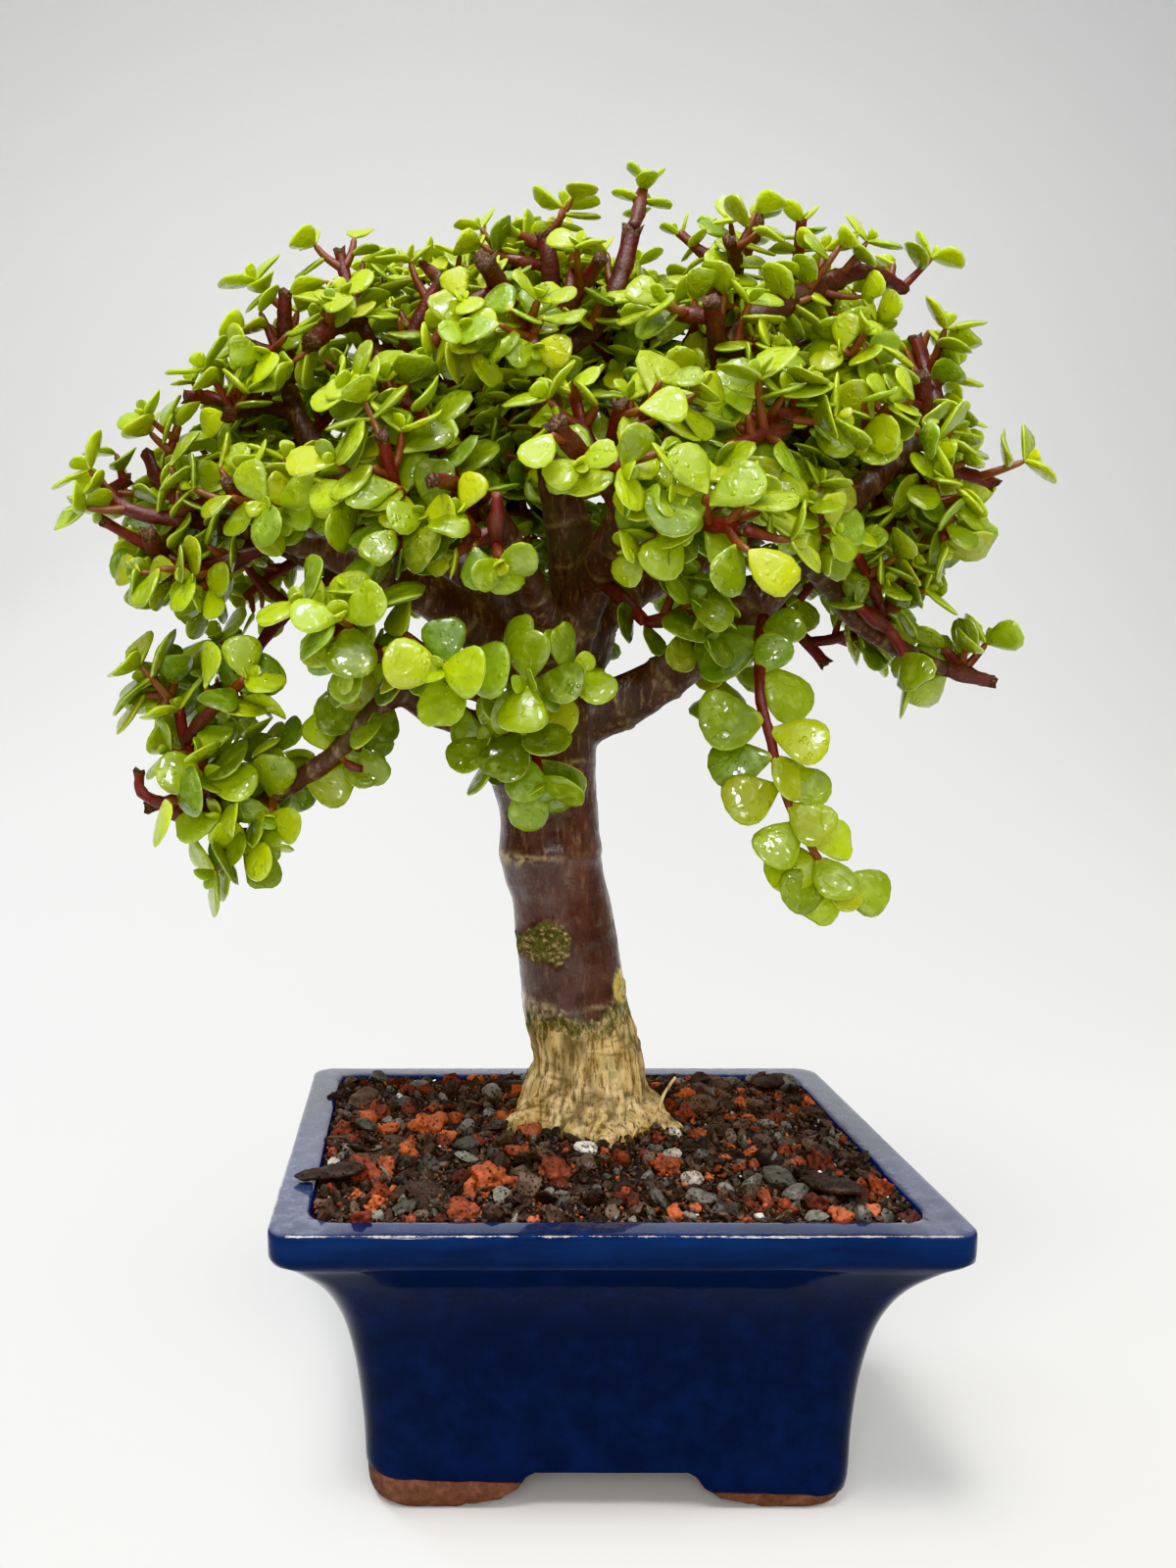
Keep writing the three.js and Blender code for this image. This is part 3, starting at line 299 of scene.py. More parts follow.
limbs = [
    [[-10, 17, 198, 9.4], [-1, 15, 200, 9], [17, 10, 208, 7.6], [35, 4, 222, 6.8], [53, 0, 238, 6],
        [61, -2, 250, 5.4], [76, 0, 264, 4.8], [92, 4, 278, 4.2], [104, 8, 291, 3.6]],
    [[-7, 20, 210, 8.4], [6, 26, 231, 7], [25, 38, 244, 6.2], [48, 50, 255, 5.4], [73, 58, 269, 4.4],
        [97, 62, 290, 3.4]],
    [[-9, 14, 212, 8.2], [0, 2, 238, 7.2], [12, -10, 259, 6.2], [22, -16, 277, 5], [34, -18, 294, 4],
        [41, -16, 310, 3]],
    [[61, -2, 250, 4.6], [73, 8, 239, 4], [84, 14, 228, 3.4], [101, 18, 219, 2.8], [114, 20, 214, 2.4]],
    [[-7, 18, 210, 9.5], [-2, 16, 239, 8], [-6, 10, 262, 6.6], [-11, 6, 285, 5.2], [-12, 6, 305, 4.2],
        [-9, 8, 323, 3.2]],
    [[-2, 22, 210, 8.5], [11, 40, 245, 7], [22, 56, 276, 5.6], [27, 62, 307, 4.4], [28, 62, 336, 3.2]],
    [[-14, 16, 206, 9], [-28, 6, 223, 7.8], [-45, -4, 235, 6.6], [-64, -10, 243, 5.6],
        [-78, -10, 249, 4.8], [-95, -6, 254, 4], [-112, 0, 257, 3.2]],
    [[-12, 20, 208, 8.6], [-27, 22, 237, 6.8], [-48, 26, 257, 5.8], [-70, 28, 272, 4.8],
        [-85, 28, 289, 4], [-90, 28, 304, 3]],
    [[-48, 26, 257, 5], [-50, 16, 278, 4.4], [-54, 8, 294, 3.8], [-63, 6, 310, 3]],
    [[-10, 17, 189, 7], [-27, 4, 197, 4.8], [-45, -6, 202, 4], [-54, -10, 208, 3.8], [-63, -10, 201, 3.6],
        [-73, -8, 190, 3.4], [-85, -4, 182, 3.2], [-96, 0, 175, 3], [-108, 4, 173, 2.8]],
    [[-10, 14, 192, 6], [-16, -8, 202, 3.8], [-27, -26, 206, 3.2], [-39, -40, 209, 2.6]],
    [[-8, 22, 205, 9], [-30, 40, 228, 6.6], [-55, 58, 243, 5.4], [-82, 70, 252, 4.2], [-104, 74, 262, 3]],
    [[-6, 24, 205, 8.6], [-10, 48, 232, 6.8], [-22, 70, 262, 5.4], [-34, 82, 290, 4.2], [-38, 84, 312, 3]],
    [[-6, 24, 202, 8], [2, 48, 212, 6], [12, 74, 220, 4.8], [18, 96, 226, 3.6], [22, 108, 232, 2.8]],
    [[25, 38, 244, 5], [44, 66, 244, 4.4], [66, 84, 246, 3.6], [84, 94, 252, 2.8]],
    [[-9, 12, 214, 7], [-13, -6, 228, 5.6], [-22, -26, 243, 4.4], [-32, -42, 258, 3.4]],
    [[0, 2, 238, 5.8], [4, -18, 247, 4.6], [5, -38, 252, 3.8], [2, -54, 256, 3]],
    [[27, 62, 307, 4], [40, 46, 322, 3.4], [50, 34, 334, 2.6]],
    [[-22, 70, 262, 4.6], [-44, 74, 288, 3.8], [-58, 70, 310, 2.8]],
]
frontTips = [
    [[-73, 5, 339, 1.9, 1], [-80, -12, 306, 2.9, 1]],
    [[-90, 18, 331, 2.4, 1], [-99, -2, 310, 1.6, 0]],
    [[-122, 22, 299, 2.2, 1], [-105, 2, 289, 2.6, 1]],
    [[-134, 25, 282, 2.2, 1], [-127, 10, 290, 1.5, 0]],
    [[-102, -22, 266, 2.2, 1], [-86, -36, 261, 1.6, 0]],
    [[-136, 8, 271, 2, 1], [-114, -14, 264, 1.5, 0]],
    [[-142, 2, 258, 1.8, 1], [-126, -12, 253, 2.3, 1]],
    [[-135, 6, 245, 1.9, 0], [-116, -14, 237, 1.7, 0]],
    [[-124, -6, 201, 1.9, 0], [-133, 10, 208, 1.5, 0], [-102, -26, 210, 1.7, 0]],
    [[-132, 6, 184, 1.7, 1], [-115, -16, 187, 1.6, 0], [-120, -10, 168, 1.5, 0]],
    [[-131, 10, 173, 2.1, 1], [-110, -14, 169, 1.6, 0], [-96, -12, 170, 1.5, 0]],
    [[-69, -22, 183, 1.5, 0], [-74, -30, 200, 1.6, 0], [-83, -18, 190, 1.5, 0]],
    [[17, -22, 226, 1.9, 0], [32, -26, 231, 1.7, 0]],
    [[-81, -62, 229, 1.8, 0], [-69, -50, 219, 1.6, 0]],
    [[-46, -72, 212, 1.8, 0], [-56, -56, 221, 1.6, 0]],
    [[-11, -58, 211, 1.8, 0], [-26, -50, 214, 1.6, 0]],
    [[-18, -36, 180, 1.7, 0], [-31, -40, 192, 1.5, 0]],
    [[-31, -70, 240, 1.7, 0], [-42, -60, 243, 1.5, 0], [-32, -72, 257, 1.6, 0]],
    [[-46, -74, 257, 1.8, 1], [-60, -48, 244, 1.6, 0]],
    [[-58, -60, 271, 1.8, 1], [-69, -52, 258, 1.6, 0]],
    [[-32, -38, 321, 3.1, 1], [-48, -34, 305, 1.8, 0], [-20, -48, 301, 1.7, 0]],
    [[-52, -50, 283, 1.7, 0], [-65, -34, 290, 1.7, 0]],
    [[-18, -82, 269, 2.6, 1], [-2, -84, 261, 1.8, 0], [-11, -64, 284, 1.7, 0]],
    [[-1, -68, 277, 1.9, 1], [14, -58, 286, 1.8, 0]],
    [[27, -78, 245, 1.9, 1], [11, -74, 250, 1.7, 0]],
    [[57, -44, 259, 1.9, 0], [59, -34, 247, 1.7, 0]],
    [[27, -40, 310, 2.5, 1], [16, -34, 315, 1.8, 0], [44, -36, 304, 1.8, 0]],
    [[46, -42, 276, 2.4, 1], [57, -36, 287, 1.8, 0], [30, -60, 271, 1.8, 0]],
    [[-43, 0, 328, 2, 1], [-51, 10, 342, 1.5, 0]],
    [[-13, 2, 343, 2.5, 1], [-19, 14, 352, 1.6, 0], [-27, 22, 348, 1.6, 0]],
    [[2, -14, 330, 2.2, 1], [-3, 8, 344, 1.6, 0]],
    [[13, 0, 343, 2.9, 1], [21, 18, 370, 1.8, 0]],
    [[42, 4, 341, 2, 1], [33, 24, 356, 1.6, 0]],
    [[57, 30, 356, 2.7, 1], [50, 44, 364, 1.6, 0]],
    [[69, 12, 355, 1.9, 0], [54, -10, 325, 1.7, 0]],
    [[80, 4, 332, 3.1, 1], [100, 22, 332, 1.9, 1]],
    [[101, 16, 316, 2.2, 1], [75, -12, 308, 1.7, 0]],
    [[95, -6, 299, 2.5, 1], [77, -26, 281, 1.7, 0]],
    [[119, 26, 286, 1.8, 0], [117, 36, 297, 1.6, 0]],
    [[123, 10, 270, 2, 1], [108, -6, 252, 1.7, 0]],
    [[111, 22, 252, 1.7, 0], [83, -4, 249, 1.7, 0]],
    [[127, 20, 211, 2.1, 1], [120, 26, 221, 1.6, 0]],
    [[104, 10, 213, 1.6, 0], [86, 2, 233, 1.7, 0]],
]
hangingTwig = [
    [49, -6, 229, 2.4], [46, -22, 217, 2.2], [44, -33, 207, 2], [47, -37, 196, 2], [49, -38, 187, 1.9],
    [53, -39, 177, 1.8], [61, -40, 164, 1.8], [66, -40, 160, 1.8],
]

# tips of thin twigs besides those of the solids, by the number of their branchlet
moreTips = {
    33: [[38, 46, 322, 1.5, 0]],
    34: [[64, 54, 326, 1.5, 0]],
    36: [[80, 44, 320, 1.5, 0], [92, 34, 312, 1.5, 0]],
    45: [[12, 80, 270, 1.6, 0], [-12, 84, 266, 1.6, 0]],
    47: [[70, 28, 270, 1.5, 0]],
    49: [[10, 66, 268, 1.5, 0], [-20, 62, 283, 1.5, 0]],
    51: [[-92, 26, 268, 1.5, 0]],
    52: [[56, 30, 300, 1.5, 0], [38, 26, 306, 1.5, 0]],
    53: [[-14, 50, 286, 1.5, 0], [16, 46, 278, 1.5, 0]],
    54: [[-62, 28, 298, 1.5, 0], [-78, 34, 284, 1.5, 0]],
}
backForkCount = {44: 4, 45: 4, 46: 4, 52: 12, 53: 12, 54: 12}
usualForks = 8  # on the other branchlets at the back
# stems with plain leaf pairs one above the other: a hundred times the branchlet's number, and the tip's
ladders = [2901, 3001, 3101, 3201, 3301, 3401, 3500]
ownerStep = 1000  # a stem owns its wood by this times its seed, and its side shoots count on from there
lowGroup, lowLimb = 12, 9  # the branchlet and the limb that hang low at the left

crown = {
    "x": -8,
    "y": 20,
    "z": 235,
    "reachX": 128,
    "reachY": 98,
    "reachUp": 118,
    "reachDown": 60,
    "foot": 190,  # height of the largest leaves, and how far above it the smallest begin
    "tall": 150,
}
backRows = [[-14, [32, 90, 148]], [20, [20, 55, 90, 125, 160]], [52, [50, 92, 130]]]  # rise, azimuths
# a branchlet's tips at the back: turn and rise in degrees; the solids have only the first four
backForks = [[0, 0], [17, -15], [-16, 14], [5, 24], [-9, -9], [11, 10], [-20, 28], [22, 20],
             [-27, -10], [26, -8], [4, -24], [8, 32]]

shoot = {
    "nodes": 4,  # pairs of side shoots or leaves on a stem
    "nodeReach": 42,  # they stand on this length of it, back from its tip
    "firstNode": 0.3,  # and not below this share of it
    "lastNode": [0.62, 0.78],  # share of the last pair on a growing stem, and on a pruned one
    "hanging": [7, 0.2, 0.86],  # pairs of the hanging twig, and the shares of the first and last
    "share": 0.62,  # how often a bud has grown into a side shoot
    "bud": 4.5,  # length of one that hasn't
    "short": 5,
    "long": 13,
    "radii": [1.15, 1, 0.85],  # at its foot, middle and tip
    "ways": [0.7, 0.3, 0.3, 0.45],  # how far it follows its bud, its stem, the light and the outside
    "bow": 0.1,
    "pairGap": 5.6,
    "leafyEnd": 7,
    "ownEnd": 9,  # number of a stem's own end among its side shoots
}

leaf = {
    "length": 13.6,
    "low": 1.12,  # leaves are this much larger at the foot of the crown
    "high": 0.84,  # and smaller at its top
    "thick": 2.2,
    "disc": 0.33,  # radius and place of the disc that others keep clear of, as shares of the length
    "discAt": 0.6,
    "flat": 0.3,  # sine of the angle under which two discs lie flat on each other
    "tries": 6,
    "shorter": 0.04,  # share that a leaf is shorter by at each further try
    "turn": [[-0.12, 0.12], [-0.45, 0.45]],  # radians at the first try, and at the others
    "lean": [[-0.1, 0.1], [-0.4, 0.3]],
    "roll": [-0.25, 0.25],
    "toLight": 0.4,  # how far a leaf turns its upper face to the light
    "lightUp": 150,  # a reach of the crown that sends the light in from above
    "tipTilt": 0.95,  # radians between a shoot and the leaves at its tip
    "tilt": 1.15,  # and in its other pairs, with a little more for each
    "tiltBelow": 0.08,
    "tipSize": [0.78, 0.96],
    "size": [0.86, 1.1],
    "lowest": 0.25,  # share of a shoot below which it is bare
}

crownMiddle = np.array([crown["x"], crown["y"], crown["z"]], float)
upwards = np.array([0.0, 0.0, 1.0])
capacity = 9000  # straight pieces of wood, and leaves, at most
clearOfWood = 1.2  # mm between a new shoot and the wood that it passes


class Wood:
    # everything woody so far, as straight pieces that new growth keeps clear of

    def __init__(self):
        self.count = 0
        self.a = np.zeros((capacity, 3))
        self.b = np.zeros((capacity, 3))
        self.radius = np.zeros(capacity)
        self.owner = np.zeros(capacity, int)

    def add(self, line, owner):
        more = len(line) - 1
        new = slice(self.count, self.count + more)
        self.a[new], self.b[new] = line[:-1, :3], line[1:, :3]
        self.radius[new] = np.maximum(line[:-1, 3], line[1:, 3])
        self.owner[new] = owner
        self.count += more

    def distances(self, points):
        a, b = self.a[: self.count], self.b[: self.count]
        way = b - a
        t = ((points[:, None] - a) * way).sum(-1) / (way * way).sum(-1)
        near = a + way * np.clip(t, 0, 1)[..., None]
        return np.linalg.norm(points[:, None] - near, axis=-1)

    def crosses(self, line, ignored, leaves):
        # True where a new line, beyond its first stretch, runs through other wood
        share = np.array([0.33, 0.67, 1])[None, :, None]
        points = (line[:-1, None, :3] + (line[1:, None, :3] - line[:-1, None, :3]) * share).reshape(-1, 3)
        radius = np.repeat(line[1:, 3], share.size)
        tested = np.linalg.norm(points - line[0, :3], axis=-1) >= leaves
        if not tested.any():
            return False
        others = ~np.isin(self.owner[: self.count], ignored)
        gap = self.distances(points[tested]) - self.radius[: self.count] - radius[tested, None] - clearOfWood
        return bool((gap[:, others] < 0).any())


class Blades:
    # the flat discs of the leaves so far, which new leaves keep clear of

    def __init__(self):
        self.count = 0
        self.middle = np.zeros((capacity, 3))
        self.normal = np.zeros((capacity, 3))
        self.radius = np.zeros(capacity)

    def meets(self, middle, normal, radius):
        # True where a disc cuts another, or lies almost flat on it
        n = self.count
        apart = self.middle[:n] - middle
        reach = radius + self.radius[:n]
        near = np.nonzero((apart * apart).sum(-1) <= reach * reach)[0]
        if not len(near):
            return False
        apart, other, otherRadius = apart[near], self.normal[near], self.radius[near]
        line = np.cross(normal, other)
        slope = np.linalg.norm(line, axis=-1)
        flat = slope < leaf["flat"]
        lying = flat & (np.abs(apart @ normal) < leaf["thick"] * 0.8)
        line = line / np.where(flat, 1, slope)[:, None]
        inP, inQ = np.cross(line, normal), np.cross(line, other)
        safe = np.where(flat, 1, (inP * other).sum(-1))
        awayP = (apart * other).sum(-1) / safe
        safe = np.where(flat, 1, inQ @ normal)
        awayQ = -(apart @ normal) / safe
        halfP = np.sqrt(np.maximum(radius * radius - awayP * awayP, 0))
        halfQ = np.sqrt(np.maximum(otherRadius**2 - awayQ * awayQ, 0))
        inside = (np.abs(awayP) <= radius) & (np.abs(awayQ) <= otherRadius)
        cutting = ~flat & inside & (np.abs((apart * line).sum(-1)) < halfP + halfQ)
        return bool((lying | cutting).any())

    def meetWood(self, wood, middle, normal, radius, owner):
        # True where a disc cuts wood other than its own
        n = wood.count
        others = wood.owner[:n] != owner
        woodRadius = wood.radius[:n]
        near = others & (wood.distances(middle[None])[0] <= radius + woodRadius + 0.3)
        if not near.any():
            return False
        a, b, woodRadius = wood.a[:n][near], wood.b[:n][near], woodRadius[near]
        heightA, heightB = (a - middle) @ normal, (b - middle) @ normal
        oneSide = (heightA * heightB > 0) & (np.minimum(np.abs(heightA), np.abs(heightB)) > woodRadius + 0.9)
        same = heightA == heightB
        share = np.where(same, 0.5, np.clip(heightA / np.where(same, 1, heightA - heightB), 0, 1))
        meet = a + (b - a) * share[:, None]
        close = np.linalg.norm(meet - middle, axis=-1) < radius + woodRadius * 0.6
        return bool((~oneSide & close).any())

    def fits(self, wood, blade, owner):
        # adds a leaf's disc where nothing is in its way
        middle = blade["base"] + blade["along"] * blade["length"] * leaf["discAt"]
        radius = blade["length"] * leaf["disc"]
        if self.meets(middle, blade["normal"], radius):
            return False
        if self.meetWood(wood, middle, blade["normal"], radius, owner):
            return False
        self.middle[self.count], self.normal[self.count] = middle, blade["normal"]
        self.radius[self.count] = radius
        self.count += 1
        return True


def placeLeaf(random, blades, wood, at, along, azimuth, tilt, length, owner, toLight=leaf["toLight"]):
    # one leaf, tilted out from its stem, with its upper face towards the stem's tip and the light
    light = unit((at - crownMiddle) / [crown["reachX"], crown["reachY"], leaf["lightUp"]] + 0.6 * upwards)
    sides = crossAxes(along)
    for attempt in range(leaf["tries"]):
        again = attempt > 0
        turn = azimuth + between(random, *leaf["turn"][again])
        lean = tilt + between(random, *leaf["lean"][again])
        roll = between(random, *leaf["roll"])
        out = outwards(sides, turn)
        direction = along * math.cos(lean) + out * math.sin(lean)
        face = along * math.sin(lean) - out * math.cos(lean)
        normal = face * math.cos(roll) + np.cross(face, direction) * math.sin(roll)
        normal = unit(normal * (1 - toLight) + light * toLight)
        direction = unit(direction - normal * (direction @ normal))
        grown = length * (1 - leaf["shorter"] * attempt)
        blade = {"base": at, "along": direction, "normal": normal, "length": grown}
        if blades.fits(wood, blade, owner):
            return blade
    return None


def leafyShoot(random, blades, wood, line, owner, size):
    # leaf pairs along a shoot, each a quarter turn from the last, with the smallest pair at the tip
    span = line[-1, :3] - line[0, :3]
    length = float(np.linalg.norm(span))
    along = span / length
    pairs = max(1, math.floor((length - 3) / shoot["pairGap"] + 0.5))
    turned = between(random, 0, math.pi)
    made = []
    for k in range(pairs, -1, -1):
        share = 1 - (k * shoot["pairGap"]) / length
        if share < leaf["lowest"]:
            continue
        at, _ = pointAt(line, share * (len(line) - 1))
        atTip = k == 0
        grown = size * between(random, *leaf["tipSize" if atTip else "size"])
        tilt = leaf["tipTilt"] if atTip else leaf["tilt"] + leaf["tiltBelow"] * k
        for half in (0, math.pi):
            azimuth = turned + (k % 2) * (math.pi / 2) + half
            blade = placeLeaf(random, blades, wood, at, along, azimuth, tilt, grown, owner)
            if blade:
                made.append({**blade, "atTip": atTip})
    return made


def backTips():
    # rows of branchlets on a dome round the crown's middle; the first tip of each is the thickest, and pruned
    groups = []
    for rise, azimuths in backRows:
        for azimuth in azimuths:
            random = makeRandom(4000 + len(groups))
            tips = []
            for k, (turn, lift) in enumerate(backForks):
                around = math.radians(azimuth + turn + between(random, -4, 4))
                raised = math.radians(rise + lift + between(random, -4, 4))
                reach = between(random, 0.92, 1.03)
                flat, tall = math.cos(raised) * reach, math.sin(raised) * reach
                vertical = crown["reachUp"] if tall > 0 else crown["reachDown"]
                tips.append([
                    crown["x"] + crown["reachX"] * flat * math.cos(around),
                    crown["y"] + crown["reachY"] * flat * math.sin(around),
                    crown["z"] + vertical * tall,
                    *([1.7, 0] if k else [2.3, 1]),
                ])
            groups.append(tips)
    return groups


def bestStart(lines, tip, least, used):
    # the point of a line that a shoot to this tip would leave from
    best = None
    for line in lines:
        for i in range(1, len(line)):
            start = line[i, :3]
            along = directionAt(line, i)
            way = tip - start
            distance = float(np.linalg.norm(way))
            if distance < least:
                continue
            crowded = any(np.linalg.norm(other - start) < 6 for other in used)
            taken = 2.2 if crowded else 1
            cost = taken * distance * (1.45 - (0.45 * float(along @ way)) / distance)
            if best is None or cost < best["cost"]:
                best = {"cost": cost, "start": start, "along": along, "radius": line[i, 3]}
    used.append(best["start"])
    return best


def stemLine(begin, tip, radius, bend):
    # a quadratic curve from the start to the tip, which leaves outwards and thins
    way = tip - begin["start"]
    middle = begin["start"] + way * [0.55, 0.55, 0.4] + begin["along"] * 0.1 * np.linalg.norm(way) + bend
    t = (np.arange(5) / 4)[:, None]
    points = begin["start"] * (1 - t) ** 2 + middle * 2 * t * (1 - t) + tip * t * t
    return np.concatenate([points, radius * (1.2 - 0.3 * t)], axis=1)


def shortened(line, share, thin):
    return np.concatenate([line[:1, :3] + (line[:, :3] - line[:1, :3]) * share, line[:, 3:] * thin], axis=1)


def growStems(wood):
    # main stems first, from the limbs, then their forks; a fork that wood blocks even when bent is dropped
    limbLines = [smooth(limb, 3) for limb in limbs]
    for line in limbLines:
        wood.add(line, -1)
    wood.add(smooth(trunkLine, 1), -1)
    hanging = smooth(hangingTwig, 2)
    wood.add(hanging, 0)
    hanging[:, 0] -= 7 * np.linspace(0, 1, len(hanging)) ** 0.6  # thinner than its solid, and a little off it
    hanging[:, 3] *= np.linspace(0.8, 0.6, len(hanging))
    stems = [{"group": 0, "seed": 0, "line": hanging, "owner": 0, "cut": 0, "radius": 1.4}]
    groups = []
    for index, tips in enumerate(frontTips + backTips()):
        groups.append(tips[: backForkCount.get(index + 1, usualForks)] + moreTips.get(index + 1, []))
    mainLines, used = [], []
    for k in range(max(len(tips) for tips in groups)):
        for index, tips in enumerate(groups):
            group = index + 1
            if k >= len(tips):
                continue
            radius, cut = tips[k][3:]
            tip = np.array(tips[k][:3], float)
            tip = tip + unit(tip - crownMiddle) * (-1 if cut else -shoot["leafyEnd"])
            seed = 100 * group + k
            random = makeRandom(seed)
            begin = bestStart([mainLines[index]], tip, 8, used) if k else bestStart(limbLines, tip, 14, used)
            ignored = [-1, ownerStep * group * 100]
            leaves = begin["radius"] + radius + 1
            line = stemLine(begin, tip, radius, 0)
            blocked = wood.crosses(line, ignored, leaves)
            attempt = 1
            while attempt < 24 and blocked:
                bend = np.array([between(random, -1, 1), between(random, -1, 1), between(random, -1, 1)])
                line = stemLine(begin, tip, radius, bend * 1.5 * attempt)
                blocked = wood.crosses(line, ignored, leaves)
                attempt += 1
            if k == 0:
                mainLines.append(line)
            if group == lowGroup:
                line = shortened(line, 0.45, 0.6)
            if k > 0 and blocked:
                continue
            owner = ownerStep * seed
            wood.add(line, owner)
            stem = {"group": group, "seed": seed, "line": line, "owner": owner, "cut": cut, "radius": radius}
            stems.append(stem)
    return stems


def nodesOf(stem):
    # the number of a stem's nodes, and the shares of its length at the first and the last
    if stem["group"] == 0:
        return shoot["hanging"]
    first = max(shoot["firstNode"], 1 - shoot["nodeReach"] / spanOf(stem["line"]))
    return shoot["nodes"], first, shoot["lastNode"][stem["cut"]]


def sideTwig(stem, whole, azimuth, reach, kind):
    # a side shoot from a place on a stem, in a way mixed from four, and bowed to its bud's side
    at, along = pointAt(stem["line"], whole)
    out = outwards(crossAxes(along), azimuth)
    ways = kind["ways"]
    way = unit(out * ways[0] + along * ways[1] + upwards * ways[2] + unit(at - crownMiddle) * ways[3])
    tip = at + way * (reach + stem["radius"])
    middle = at + (tip - at) * 0.5 + out * shoot["bow"] * reach
    return np.column_stack([[at, middle, tip], kind["radii"]])


def growShoots(wood, stems):
    # a bud on either side of each node, each pair a quarter turn from the last; most have grown
    shoots = []
    for stem in stems:
        if stem["seed"] in ladders:
            continue
        random = makeRandom(20000 + stem["seed"])
        nodes, first, last = nodesOf(stem)
        turned = between(random, 0, math.pi)
        for k in range(nodes):
            whole = (first + ((last - first) * k) / (nodes - 1)) * (len(stem["line"]) - 1)
            for half in (0, 1):
                azimuth = turned + k * (math.pi / 2) + half * math.pi
                grows = random() < (shoot["share"] if stem["group"] else 0)
                reach = between(random, shoot["short"], shoot["long"]) if grows else shoot["bud"]
                twig = sideTwig(stem, whole, azimuth, reach, shoot)
                owner = stem["owner"] + 10 * k + half + 1
                if wood.crosses(twig, [stem["owner"]], stem["radius"] + 1):
                    continue
                wood.add(twig, owner)
                shoots.append({"stem": stem, "line": twig, "owner": owner, "order": 2 * k + half})
        if not stem["cut"]:
            end = stem["line"][-3:]
            shoots.append({"stem": stem, "line": end, "owner": stem["owner"], "order": shoot["ownEnd"]})
    return shoots


def sizeAt(height):
    # length of a leaf: the largest are at the foot of the crown, the smallest at its top
    rise = min(max((height - crown["foot"]) / crown["tall"], 0), 1)
    return leaf["length"] * (leaf["low"] + (leaf["high"] - leaf["low"]) * rise)


def growLeaves(wood, blades, shoots):
    for one in shoots:
        random = makeRandom(90000 + one["stem"]["seed"] * 10 + one["order"])
        size = sizeAt(one["line"][0, 2]) * between(random, 0.88, 1.12)
        one["leaves"] = leafyShoot(random, blades, wood, one["line"], one["owner"], size)


# extra side shoots and leaves, which fill the crown as densely as it really is

filling = {
    "pairs": 8,  # leaf pairs tried straight on each stem
    "inner": 0.3,  # share of the stem below which none stand
    "pairGap": [4.4, 6.2],  # between the pairs, and between those of a ladder
    "ladderGap": [4.6, 5.6],
    "tries": 6,  # extra side shoots tried on each front stem
    "backTries": 9,  # and on each at the back
    "first": 0.28,  # share of the stem where they begin
    "last": 0.97,
    "short": 4,
    "long": 11,
    "radii": [1.05, 0.9, 0.75],
    "ways": [0.9, 0.3, 0.25, 0.3],  # as in shoot
    # share of the side shoots that are missing, by the number of the branchlet
    "thin": {9: 0.35, 10: 0.35, 11: 0.4, 12: 1, 13: 0.6, 14: 0.3, 15: 0.7, 16: 0.8, 17: 0.9, 18: 0.6, 19: 0.4,
             42: 0.75, 43: 0.75, 44: 0.6, 45: 0.4, 46: 0.7},
    "gone": 0.55,  # where more than this is missing, the stem has no leaves of its own
    "bare": 6.5,  # length of a pruned stem's end that no leaf stands at, besides twice its radius
    "beyond": 16,  # how far past the end, and beside it besides its radius, none stands either
    "beside": 5.5,
    "nearStub": [1.5, 2.5],  # length that no leaf crosses on the way to the eye: mm, and times the radius
    "farStub": [3, 4],
    "kept": 0.55,  # a side shoot that loses more of its leaves than this goes with them
    "leafy": 0.12,  # and one with fewer leaves to a mm than this
}
closest = 18  # branchlet_01 to branchlet_18 are nearest to the eye: short stubs, and the finest leaves

# the youngest pair at each tip
tipPair = {
    "length": 0.36,  # share of its neighbours' length, times a number in this range
    "vary": [0.8, 1.5],
    "lift": 0.4,
    "lean": [0.35, 0.7],
    "sway": [-0.25, 0.25],
}

# how light a leaf is: darker in the middle and at the foot of the crown, partly painted shade
leafTone = {
    "deep": -0.12,  # in the middle of the crown
    "depth": 0.52,  # more at its outside
    "outmost": 1.15,
    "reachUp": 105,
    "height": 0.14,
    "tip": 0.18,
    "vary": [-0.2, 0.2],
}


